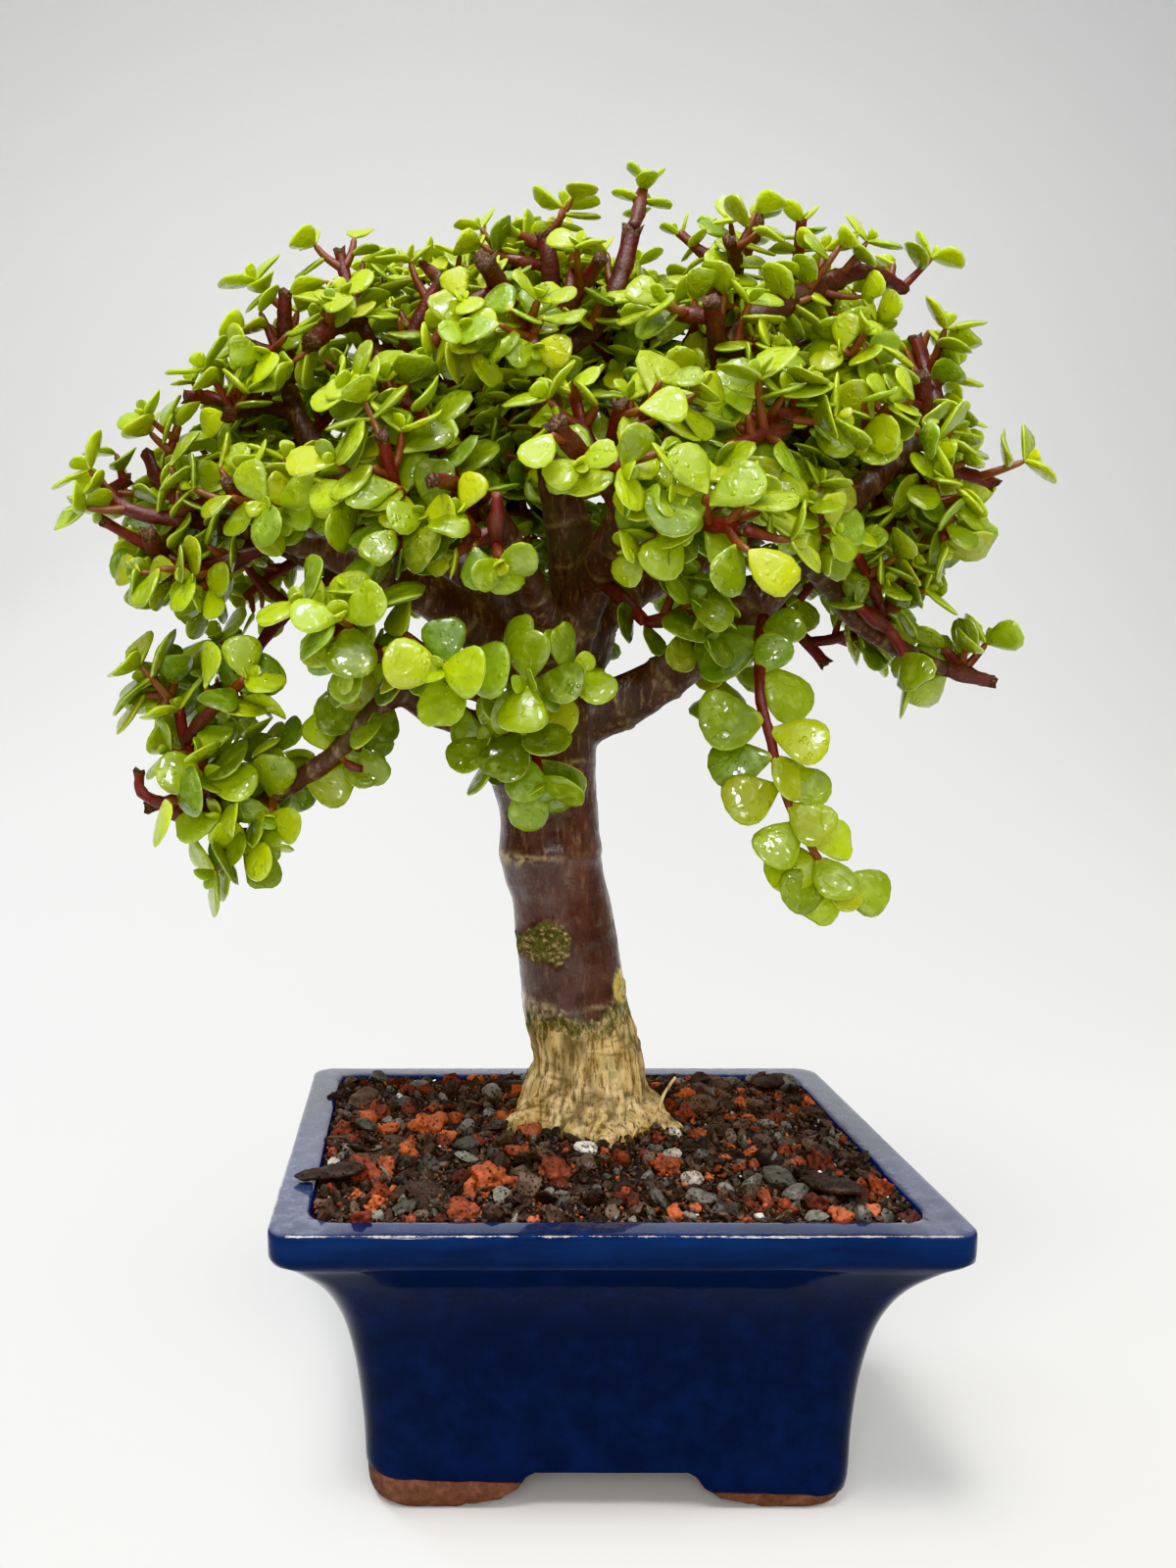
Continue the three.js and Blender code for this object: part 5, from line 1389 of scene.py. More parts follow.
pot = {
    "width": 170,
    "depth": 136,
    "rimCorner": 6,
    "bodyCorner": 10,
    # height, inset from the rim's edge
    "outside": [[0, 25], [1.6, 23.6], [6, 22.6], [20, 21.8], [33, 20.3], [46, 17.7], [55, 14.4], [62, 10.3],
                [68, 5], [70.6, 2.1], [71.6, 0.7], [72.6, 0.25], [75, 0.1], [78.6, 0]],
    "rim": [[79.2, 0.12], [79.55, 0.45], [79.72, 1], [79.78, 2], [79.8, 4.5], [79.76, 7], [79.66, 8.2],
            [79.35, 9], [78.7, 9.4], [77.6, 9.75]],
    "inside": [[76, 10.2], [73, 11.4], [70, 12.8], [66, 14.8], [62, 17], [52, 22], [40, 26], [24, 28.4],
               [18, 29]],
    # half width and height of the gap between the front feet
    "arch": [[0, 10.2], [19.4, 10.2], [21.7, 8.9], [23.7, 6], [26.5, 4.4], [28, 3.1], [32.6, 2.1],
             [35.8, 1.1], [38.5, 0], [90, 0]],
    "archSideShift": 14,  # how much narrower the gap is between the side feet
    "glazeLine": [6.4, -0.045],  # height above the ground in the middle, rise to the right
    "glazeThick": 0.4,
    "glazeRings": 46,
    "clayTop": 11.6,  # height where the clay ends, inside the glaze
    "drainX": 29,
    "drainRadius": 6.5,
    "column": 1.7,  # between the points along a side
    "cornerColumns": 9,
    "cornerWidth": 12,  # what a corner takes of each side
}


def potRing(inset, height):
    # points round a rectangle with round corners; inset and height are numbers, or one for each column
    columns, corner = [], pot["cornerColumns"]
    longSide, shortSide = pot["width"] - pot["cornerWidth"], pot["depth"] - pot["cornerWidth"]
    for sx, sy, start, straight in ((1, 1, 0, longSide), (-1, 1, 90, shortSide), (-1, -1, 180, longSide),
                                    (1, -1, 270, shortSide)):
        for k in range(corner):
            columns.append([sx, sy, math.radians(start + 90 * k / (corner - 1)), 0])
        many = int(straight / pot["column"])
        for k in range(1, many):
            columns.append([sx, sy, math.radians(start + 90), k / many])
    sx, sy, angle, share = np.array(columns).T
    inset = np.broadcast_to(np.asarray(inset, float), sx.shape)
    height = np.broadcast_to(np.asarray(height, float), sx.shape)
    halfX, halfY = pot["width"] / 2 - inset, pot["depth"] / 2 - inset
    bend = pot["rimCorner"] + (pot["bodyCorner"] - pot["rimCorner"]) * np.clip(inset / 22, 0, 1)
    bend = np.minimum(bend, halfY)
    straight, alongX = share > 0, np.abs(np.sin(angle)) > 0.5
    x = sx * (halfX - bend) + bend * np.cos(angle)
    y = sy * (halfY - bend) + bend * np.sin(angle)
    x = np.where(straight & alongX, sx * (halfX - bend) * (1 - 2 * share), x)
    y = np.where(straight & ~alongX, sy * (halfY - bend) * (1 - 2 * share), y)
    return np.stack([x, y, height], axis=1)


def archHeight(x, y):
    # height of the gap between the feet, where the front one and the side one leave the clay
    half, height = np.array(pot["arch"]).T
    front = np.interp(np.abs(x), half, height)
    side = np.interp(np.abs(y) + pot["archSideShift"], half, height)
    return np.maximum(front, side)


def outsideInset(height):
    fine = smooth(pot["outside"], 8)
    return np.interp(height, fine[:, 0], fine[:, 1])


def ringStack(rings):
    # a closed body from rings of points, with a middle point at each end
    rows, columns = len(rings), len(rings[0])
    points = np.concatenate([*rings, rings[0].mean(0)[None], rings[-1].mean(0)[None]])
    return points, gridFaces(rows, columns), capFaces(rows, columns)


def cutDrains(piece):
    # the two drainage holes, cut through the floor
    cutters = []
    for side in (-1, 1):
        hole = np.array([[side * pot["drainX"], 0, z, pot["drainRadius"]] for z in (3, 12, 30)], float)
        cutters.append(tube(hole, 40))
    points, quads, triangles, _ = joinParts(cutters)
    tool = newObject("drains", newMesh("drains", points, quads, triangles))
    cut = piece.modifiers.new("cut", "BOOLEAN")
    cut.operation = "DIFFERENCE"
    cut.solver = "EXACT"
    cut.object = tool
    done = finalMesh(piece)
    piece.modifiers.clear()
    piece.data = done
    bpy.data.objects.remove(tool)


def addPotValues(mesh):
    x, y, z = ((readRows(mesh.vertices, "co", 3) - potMiddle) / mm).T
    edge = np.minimum(pot["width"] / 2 - np.abs(x), pot["depth"] / 2 - np.abs(y))
    addValues(mesh, {
        "potHeight": z / 80,
        "potRimEdge": np.exp(-(((79.6 - z) / 0.7) ** 2) - ((edge - 0.35) / 0.75) ** 2),
        "potTop": np.clip((z - 79.1) * 2, 0, 1) * (edge < 10),
        "potInner": (edge > outsideInset(z) + 5) & (z > 15) & (z < 79.3),
        "potSide": np.clip((np.abs(x) - 62) / 20, 0, 1) + np.clip(y / 50, 0, 1),
    })


def finishPot(name, solid, slot, material):
    piece = newPiece(name, newMesh(name, *solid), None, slot, "pot")
    cutDrains(piece)
    addPotValues(piece.data)
    piece.data.materials.append(material)
    print("pot:", name, len(piece.data.polygons), "faces")


def makePot(glazeMaterial, clayMaterial):
    # the glaze's rings go from its lower edge up the outside, over the rim and down to the floor inside,
    # the clay's from the middle of the underside out and up behind that edge
    base = potRing(outsideInset(4.0), 0)
    low = archHeight(base[:, 0], base[:, 1])
    level, rise = pot["glazeLine"]
    line = level + rise * base[:, 0] + 0.5 * noise(base, 11, 51) + 0.25 * noise(base, 3.5, 52)
    start = np.maximum(line, low + 0.25)
    thick = pot["glazeThick"]
    edge = outsideInset(start)
    rings = [potRing(edge + 9, 13.2), potRing(edge + 3, 12.9), potRing(edge + 1.5 * thick, start + 0.25)]
    rings += [potRing(edge + thick, start), potRing(edge + 0.3 * thick, start - 0.05)]
    rings.append(potRing(edge, start + 0.25))
    for share in np.linspace(0, 1, pot["glazeRings"])[1:] ** 0.92:
        height = start + 0.25 + (pot["outside"][-1][0] - start - 0.25) * share
        rings.append(potRing(outsideInset(height), height))
    rings += [potRing(inset, height) for height, inset in pot["rim"] + pot["inside"]]
    points, quads, triangles = ringStack(rings)
    wave = 0.28 * noise(points, 42, 61) + 0.1 * noise(points, 13, 62)  # its sides aren't quite true
    points[:, :2] *= 1 + (wave / 80)[:, None]
    finishPot("pot_glazed", (points, quads, triangles), "glaze", glazeMaterial)

    rings = []
    for share in np.linspace(1, 0.04, 34)[::-1]:
        ring = potRing(outsideInset(low) + thick, 0)
        ring[:, :2] *= share
        ring[:, 2] = archHeight(ring[:, 0], ring[:, 1])
        rings.append(ring)
    for share in np.linspace(0, 1, 10)[1:]:
        height = low + (pot["clayTop"] - low) * share
        rings.append(potRing(outsideInset(height) + thick, height))
    rings.append(potRing(outsideInset(pot["clayTop"]) + 6, pot["clayTop"] + 0.3))
    finishPot("pot_clay", ringStack(rings), "bare_clay", clayMaterial)


# the soil: a bed, and loose stones of several kinds on it

soil = {
    "edgeHeight": 78.6,
    "moundHeight": 81.6,
    "moundRadius": 58,
    "grains": 40,
    "grainSize": [3.2, 5.4],
    "grainPlaces": [75, 58],
    "trunkClear": 27,
    # number, least and largest radius, and height over the bed as a share of the radius
    "middling": [520, 1.7, 4.1, -0.05],
    "small": [2600, 0.6, 1.5, 0.25],
    "reach": [75.5, 58.5],  # half width and depth that the stones fill
    "foot": [3, 17, 19],  # x, y and radius of the trunk's foot
    "bed": [76, 59],  # half width and depth of the bed's top
    # height and inset of the bed's sides, down to the pot's floor
    "sides": [[70, 12.9], [62, 17.1], [52, 22.1], [40, 26.1], [18.4, 29.2]],
    # share of all stones, share of small ones, flat facets, roughness, least and largest proportions, and
    # how finely the balls of the large and middling ones are divided
    "kinds": {
        "lava": {"share": 0.27, "small": 0.12, "facets": 12, "rough": 0.36,
                 "shape": [[0.9, 0.8, 0.7], [1.35, 1.1, 1]], "detail": [4, 3]},
        "stone": {"share": 0.17, "small": 0.05, "facets": 8, "rough": 0.09,
                  "shape": [[0.9, 0.7, 0.5], [1.4, 1, 0.8]], "detail": [3, 2]},
        "dirt": {"share": 0.54, "small": 0.82, "facets": 9, "rough": 0.22,
                 "shape": [[1.1, 0.7, 0.35], [1.8, 1.1, 0.7]], "detail": [3, 2]},
        "perlite": {"share": 0.02, "small": 0.01, "facets": 10, "rough": 0.08,
                    "shape": [[0.7, 0.6, 0.5], [1, 0.9, 0.8]], "detail": [3, 2]},
    },
}

# x, y, height of the underside, length, width, thickness and turn of each large chip of bark
barkChips = [
    [-72, -33, 80.6, 19, 8, 2.4, 12],
    [57, -41, 80.2, 17, 9, 2.6, -48],
    [66, 47, 80.4, 15, 8, 2.4, 30],
    [-20, 44, 80.2, 13, 7, 2.2, -15],
]


def bedHeight(x, y):
    # a low mound round the trunk
    away = np.hypot(x - trunkLine[0][0], y - trunkLine[0][1])
    share = np.maximum(0, 1 - away / soil["moundRadius"])
    return soil["edgeHeight"] + (soil["moundHeight"] - soil["edgeHeight"]) * share * (2 - share)


def plannedGrains():
    # the large stones, where the plan has them: x, y and radius
    random = makeRandom(77)
    small, large = soil["grainSize"]
    reachX, reachY = soil["grainPlaces"]
    placed = []
    while len(placed) < soil["grains"]:
        radius = small + (large - small) * random() ** 1.7
        x, y = between(random, -reachX, reachX), between(random, -reachY, reachY)
        crowded = any(math.hypot(px - x, py - y) < 0.82 * (pr + radius) for px, py, pr in placed)
        if crowded or math.hypot(x - trunkLine[0][0], y - trunkLine[0][1]) < soil["trunkClear"]:
            continue
        placed.append((x, y, radius))
        for _ in range(13):  # the plan draws these for the grain's form
            random()
    return placed


def pebbleBall(detail):
    ball = bpy.data.meshes.new("ball")
    work = bmesh.new()
    bmesh.ops.create_icosphere(work, subdivisions=detail, radius=1)
    work.to_mesh(ball)
    work.free()
    points = readRows(ball.vertices, "co", 3).astype(float)
    faces = readRows(ball.loops, "vertex_index", 1, np.int32).reshape(-1, 3)
    bpy.data.meshes.remove(ball)
    return points, faces


def pebbles(places, detail, seed, kind):
    # rough stones: in each direction a ball reaches to the nearest of some random planes, then is roughened
    facets, rough, shape = kind["facets"], kind["rough"], kind["shape"]
    ball, faces = pebbleBall(detail)
    draw = np.random.default_rng(seed)
    points, tones = [], []
    for x, y, z, radius in places:
        normals = unit(draw.normal(size=(facets, 3)))
        reach = draw.uniform(0.5, 1.0, facets)
        facing = np.maximum(ball @ normals.T, 0.05)
        stone = ball * np.minimum((reach / facing).min(1), 1.15)[:, None]
        where = ball + draw.uniform(0, 50, 3)
        grit = noise(where, 0.55, seed) + 0.7 * noise(where, 0.27, seed + 1)
        stone += ball * (rough * grit)[:, None]
        turn = np.linalg.qr(draw.normal(size=(3, 3)))[0]
        turn *= np.linalg.det(turn)
        stone = (stone * draw.uniform(shape[0], shape[1])) @ turn.T
        points.append(stone * radius * [1, 1, 0.85] + [x, y, z])
        tones.append(np.full(len(ball), draw.random()))
    triangles = (faces[None] + (np.arange(len(places)) * len(ball))[:, None, None]).reshape(-1, 3)
    return np.concatenate(points), np.zeros((0, 4), int), triangles, np.concatenate(tones)


def scatter(count, small, large, lift, seed, taken):
    # places for stones on the bed, clear of the trunk's foot, with little overlap
    draw = np.random.default_rng(seed)
    reachX, reachY = soil["reach"]
    footX, footY, footRadius = soil["foot"]
    places, tries = [], 0
    while len(places) < count and tries < count * 30:
        tries += 1
        radius = small + (large - small) * draw.random() ** 1.8
        x, y = draw.uniform(-reachX, reachX), draw.uniform(-reachY, reachY)
        x, y = np.clip(x, radius - reachX, reachX - radius), np.clip(y, radius - reachY, reachY - radius)
        if math.hypot(x - footX, y - footY) < footRadius:
            continue
        near = taken[(np.abs(taken[:, 0] - x) < 9) & (np.abs(taken[:, 1] - y) < 9)]
        if len(near) and (np.hypot(near[:, 0] - x, near[:, 1] - y) < 0.78 * (near[:, 2] + radius)).any():
            continue
        places.append((x, y, bedHeight(x, y) + lift * radius, radius))
        taken = np.concatenate([taken, [[x, y, radius]]])
    return places, taken


def makeBed(material):
    # the bed fills the pot from its floor; its top is bumpy
    halfX, halfY = soil["bed"]
    x, y = np.meshgrid(np.arange(-halfX, halfX + 0.1), np.arange(-halfY, halfY + 0.1), indexing="ij")
    top = np.stack([x, y, bedHeight(x, y)], axis=-1)
    flat = top.reshape(-1, 3)
    bumps = 1.1 * noise(flat, 5, 71) + 0.7 * noise(flat, 2.2, 72) - 0.6
    top[..., 2] += bumps.reshape(x.shape)

    def edgeOf(grid):
        return np.concatenate([grid[:, 0], grid[-1, 1:], grid[-2::-1, -1], grid[0, -2:0:-1]])

    rim = edgeOf(top)
    lower = []
    for height, inset in soil["sides"]:
        ring = rim * [(pot["width"] / 2 - inset) / halfX, (pot["depth"] / 2 - inset) / halfY, 0]
        ring[:, 2] = height
        lower.append(ring)
    points = np.concatenate([top.reshape(-1, 3), *lower, [[0, 0, soil["sides"][-1][0]]]])
    index = np.arange(x.size).reshape(x.shape)
    loops = [edgeOf(index)] + [x.size + k * len(rim) + np.arange(len(rim)) for k in range(len(lower))]
    walls = []
    for a, b in zip(loops, loops[1:]):
        walls.append(np.stack([b, np.roll(b, -1), np.roll(a, -1), a], axis=-1))
    grid = np.stack([index[:-1, :-1], index[1:, :-1], index[1:, 1:], index[:-1, 1:]], axis=-1).reshape(-1, 4)
    bottom = fanFaces(loops[-1], len(points) - 1, flip=True)
    mesh = newMesh("soil_bed", points, np.concatenate([grid, *walls]), bottom)
    newPiece("soil_bed", mesh, material, "soil", "soil")


def makeChips(material):
    # flattened rods with torn ends and a ridged surface
    rows, columns = 25, 18
    parts = []
    for number, (x, y, low, length, width, thick, turn) in enumerate(barkChips):
        around = 2 * np.pi * np.arange(columns) / columns
        a, b = np.meshgrid(np.linspace(-0.5, 0.5, rows), around, indexing="ij")
        grid = np.stack([a * 30, np.cos(b) * 3, np.sin(b) * 3], axis=-1).reshape(-1, 3) + 40 * number
        ragged = noise(grid / [1, 1.4, 1.4], 1.2, 91).reshape(a.shape)
        narrow = np.clip(1.06 - np.abs(2 * a) ** 5, 0.1, 1) * (0.9 + 0.16 * np.sin(7 * a + number))
        u = a * length * (1 + 0.06 * ragged)
        v = np.sign(np.cos(b)) * np.abs(np.cos(b)) ** 0.7 * width / 2 * narrow * (1 + 0.1 * ragged)
        w = np.sign(np.sin(b)) * np.abs(np.sin(b)) ** 0.7 * thick / 2 * narrow * (1 + 0.3 * ragged)
        w = w + thick / 2 + low + 0.5 * np.sin(3 * a)
        c, s = math.cos(math.radians(turn)), math.sin(math.radians(turn))
        ring = np.stack([x + u * c - v * s, y + u * s + v * c, w], axis=-1)
        parts.append((*ringStack(list(ring)), np.full(rows * columns + 2, 0.15)))
    points, quads, triangles, tones = joinParts(parts)
    mesh = newMesh("soil_bark_chips", points, quads, triangles, {"stoneTone": tones})
    newPiece("soil_bark_chips", mesh, material, "soil", "soil")


def makeSoil(bedMaterial, stoneMaterials):
    makeBed(bedMaterial)
    grains = plannedGrains()
    large = [(x, y, bedHeight(x, y) + radius * 0.1, radius * 0.98) for x, y, radius in grains]
    middling, taken = scatter(*soil["middling"], 5, np.array(grains))
    small, taken = scatter(*soil["small"], 6, taken)
    draw = np.random.default_rng(8)
    kinds = soil["kinds"]
    pick = {}
    for label, places in (("large", large), ("middling", middling), ("small", small)):
        shares = [kind["small" if label == "small" else "share"] for kind in kinds.values()]
        chosen = draw.choice(list(kinds), len(places), p=shares)
        for name in kinds:
            pick[label, name] = [place for place, other in zip(places, chosen) if other == name]
    for number, (name, kind) in enumerate(kinds.items()):
        details = [*kind["detail"], 1]
        parts = []
        for k, label in enumerate(("large", "middling", "small")):
            parts.append(pebbles(pick[label, name], details[k], 100 * (k + 1) + number, kind))
        points, quads, triangles, tones = joinParts(parts)
        mesh = newMesh("soil_" + name, points, quads, triangles, {"stoneTone": tones})
        if name in ("stone", "dirt"):  # sharp facets
            mesh.polygons.foreach_set("use_smooth", np.zeros(len(mesh.polygons), bool))
        newPiece("soil_" + name, mesh, stoneMaterials[name], "soil", "soil")
    makeChips(stoneMaterials["dirt"])
    print("soil:", len(large), "large,", len(middling), "middling,", len(small), "small stones")


# materials


class Shader:
    # a Principled material, with short ways to add nodes and to link them

    def __init__(self, name, **values):
        self.material = bpy.data.materials.new(name)
        self.material.use_nodes = True
        self.tree = self.material.node_tree
        self.tree.nodes.clear()
        self.main = self.node("ShaderNodeBsdfPrincipled")
        self.join(self.main.outputs[0], self.node("ShaderNodeOutputMaterial").inputs["Surface"])
        self.object = self.node("ShaderNodeTexCoord").outputs["Object"]
        for label, value in values.items():
            self.main.inputs[label.replace("_", " ")].default_value = value

    def node(self, kind, **settings):
        made = self.tree.nodes.new(kind)
        for label, value in settings.items():
            setattr(made, label, value)
        return made

    def join(self, source, target):
        if isinstance(source, (int, float)):
            target.default_value = source
        elif isinstance(source, (tuple, list)):
            target.default_value = (*source, 1)[:4] if len(target.default_value) == 4 else source
        else:
            self.tree.links.new(source, target)

    def objectHeight(self):
        # height in metres
        made = self.node("ShaderNodeSeparateXYZ")
        self.join(self.object, made.inputs[0])
        return made.outputs["Z"]

    def value(self, name):
        return self.node("ShaderNodeAttribute", attribute_name=name).outputs["Fac"]

    def noise(self, size, detail=3, rough=0.5, stretch=None, warp=0.0):
        # noise from 0 to 1 with features of a size in millimetres
        made = self.node("ShaderNodeTexNoise")
        where = self.object
        if stretch:
            mapping = self.node("ShaderNodeMapping")
            mapping.inputs["Scale"].default_value = stretch
            self.join(where, mapping.inputs["Vector"])
            where = mapping.outputs[0]
        self.join(where, made.inputs["Vector"])
        made.inputs["Scale"].default_value = 1 / (size * mm)
        made.inputs["Detail"].default_value = detail
        made.inputs["Roughness"].default_value = rough
        made.inputs["Distortion"].default_value = warp
        return made.outputs["Fac"]

    def cells(self, size, feature="F1"):
        made = self.node("ShaderNodeTexVoronoi", feature=feature)
        self.join(self.object, made.inputs["Vector"])
        made.inputs["Scale"].default_value = 1 / (size * mm)
        return made.outputs["Distance"]

    def ramp(self, value, *stops):
        # stops of (place, colour or grey)
        made = self.node("ShaderNodeValToRGB")
        self.join(value, made.inputs[0])
        while len(made.color_ramp.elements) < len(stops):
            made.color_ramp.elements.new(0.5)
        for element, (place, colour) in zip(made.color_ramp.elements, stops):
            element.position = place
            element.color = (*colour, 1) if isinstance(colour, tuple) else (colour, colour, colour, 1)
        return made.outputs[0]

    def mix(self, share, a, b):
        made = self.node("ShaderNodeMix", data_type="RGBA")
        self.join(share, made.inputs[0])
        self.join(a, made.inputs[6])
        self.join(b, made.inputs[7])
        return made.outputs[2]

    def over(self, under, colour, value, *stops):
        # a colour laid over what is under it, as thick as a ramp makes of the value
        return self.mix(self.ramp(value, *stops), under, colour)

    def math(self, kind, a, b, clamp=False):
        made = self.node("ShaderNodeMath", operation=kind, use_clamp=clamp)
        self.join(a, made.inputs[0])
        self.join(b, made.inputs[1])
        return made.outputs[0]

    def times(self, a, b):
        return self.math("MULTIPLY", a, b)

    def plus(self, a, b, clamp=False):
        return self.math("ADD", a, b, clamp)

    def frayed(self, value, much, *noise):
        # a value with noise on it, so that the edge of what it stands for is ragged
        return self.plus(value, self.times(self.math("SUBTRACT", self.noise(*noise), 0.5), much))

    def bump(self, height, deep, strength=1.0, under=None):
        # deep is the height in millimetres that a value of 1 stands for
        made = self.node("ShaderNodeBump")
        made.inputs["Strength"].default_value = strength
        made.inputs["Distance"].default_value = deep * mm
        self.join(height, made.inputs["Height"])
        if under:
            self.join(under, made.inputs["Normal"])
        return made.outputs[0]

    def finish(self, colour, roughness=None, normal=None):
        self.join(colour, self.main.inputs["Base Color"])
        if roughness is not None:
            self.join(roughness, self.main.inputs["Roughness"])
        if normal is not None:
            self.join(normal, self.main.inputs["Normal"])
        return self.material


def leafLook():
    s = Shader("leaf", Subsurface_Weight=0.22, Subsurface_Scale=0.0014, Coat_Weight=0.65, Coat_Roughness=0.05,
               Specular_IOR_Level=0.3)
    s.main.inputs["Subsurface Radius"].default_value = (0.7, 1.0, 0.15)
    # leafTone holds painted shade: leaves in the middle and at the foot of the crown are darker
    tone = s.frayed(s.value("leafTone"), 0.35, 9, 2)
    green = s.ramp(tone, (0, (0.035, 0.055, 0.002)), (0.25, (0.1, 0.145, 0.003)),
                   (0.5, (0.2, 0.265, 0.005)), (0.75, (0.32, 0.4, 0.009)), (1, (0.43, 0.51, 0.02)))
    green = s.over(green, (0.36, 0.33, 0.012), s.value("leafRandom"), (0.75, 0), (1, 0.4))  # olive
    green = s.over(green, (0.1, 0.21, 0.03), s.value("leafRandom"), (0, 0.45), (0.3, 0))  # cool
    green = s.over(green, (0.42, 0.5, 0.14), s.noise(3.2, 3), (0.5, 0), (0.72, 0.3))  # bloom
    green = s.over(green, (0.5, 0.52, 0.08), s.value("leafAlong"), (0, 0.75), (0.16, 0))  # yellow
    green = s.over(green, (0.6, 0.72, 0.16), s.value("leafRim"), (0.8, 0), (1, 0.42))  # pale
    green = s.over(green, (0.12, 0.11, 0.03), s.cells(1.5), (0.06, 0.55), (0.13, 0))  # specks
    drops = s.ramp(s.cells(2.1), (0.08, 1), (0.2, 0.8), (0.28, 0.4), (0.33, 0))
    wet = s.ramp(s.noise(9, 1), (0.46, 0), (0.56, 1))
    drops = s.times(drops, wet)
    pool = s.ramp(s.noise(5.5, 2), (0.52, 0), (0.57, 0.45))
    drops = s.math("MAXIMUM", drops, pool)
    rough = s.math("SUBTRACT", s.plus(s.times(s.noise(4, 3), 0.35), 0.3),
                   s.times(drops, 0.3), True)
    dimples = s.bump(s.noise(3.4, 2), 0.5, 0.45, s.bump(s.noise(0.8, 2), 0.06, 0.5))
    wavy = s.bump(drops, 0.32, 0.9, dimples)
    s.join(wavy, s.main.inputs["Coat Normal"])
    return s.finish(green, rough, wavy)


def twigLook():
    s = Shader("twig", Specular_IOR_Level=0.4)
    age = s.value("twigAge")
    red = s.ramp(s.plus(age, s.times(s.noise(6, 2), 0.3)), (0.1, (0.17, 0.08, 0.02)),
                 (0.28, (0.11, 0.015, 0.013)), (0.6, (0.064, 0.009, 0.01)), (1, (0.036, 0.014, 0.01)))
    red = s.mix(s.times(s.value("twigNode"), 0.4), red, (0.1, 0.045, 0.03))
    fleck = s.times(s.ramp(s.noise(0.9, 3), (0.5, 0.1), (0.64, 1)), s.ramp(age, (0.15, 0.2), (0.6, 0.8)))
    red = s.mix(s.times(fleck, 0.55), red, (0.15, 0.07, 0.04))
    patch = s.ramp(s.noise(3, 3), (0.5, 0), (0.6, 0.6))
    red = s.mix(s.times(patch, age), red, (0.05, 0.03, 0.02))
    dry = s.ramp(s.frayed(s.value("twigDry"), 0.6, 0.9, 2), (0.25, 0), (0.5, 1))
    tan = s.ramp(s.noise(0.7, 3), (0.3, (0.016, 0.009, 0.006)), (0.55, (0.07, 0.036, 0.02)),
                 (0.75, (0.22, 0.13, 0.07)))
    colour = s.mix(dry, red, tan)
    rough = s.plus(s.ramp(dry, (0, 0.2), (1, 0.6)), s.times(s.noise(1.5, 3), 0.6), True)
    return s.finish(colour, rough, s.bump(s.noise(0.8, 3), 0.35, 0.7))


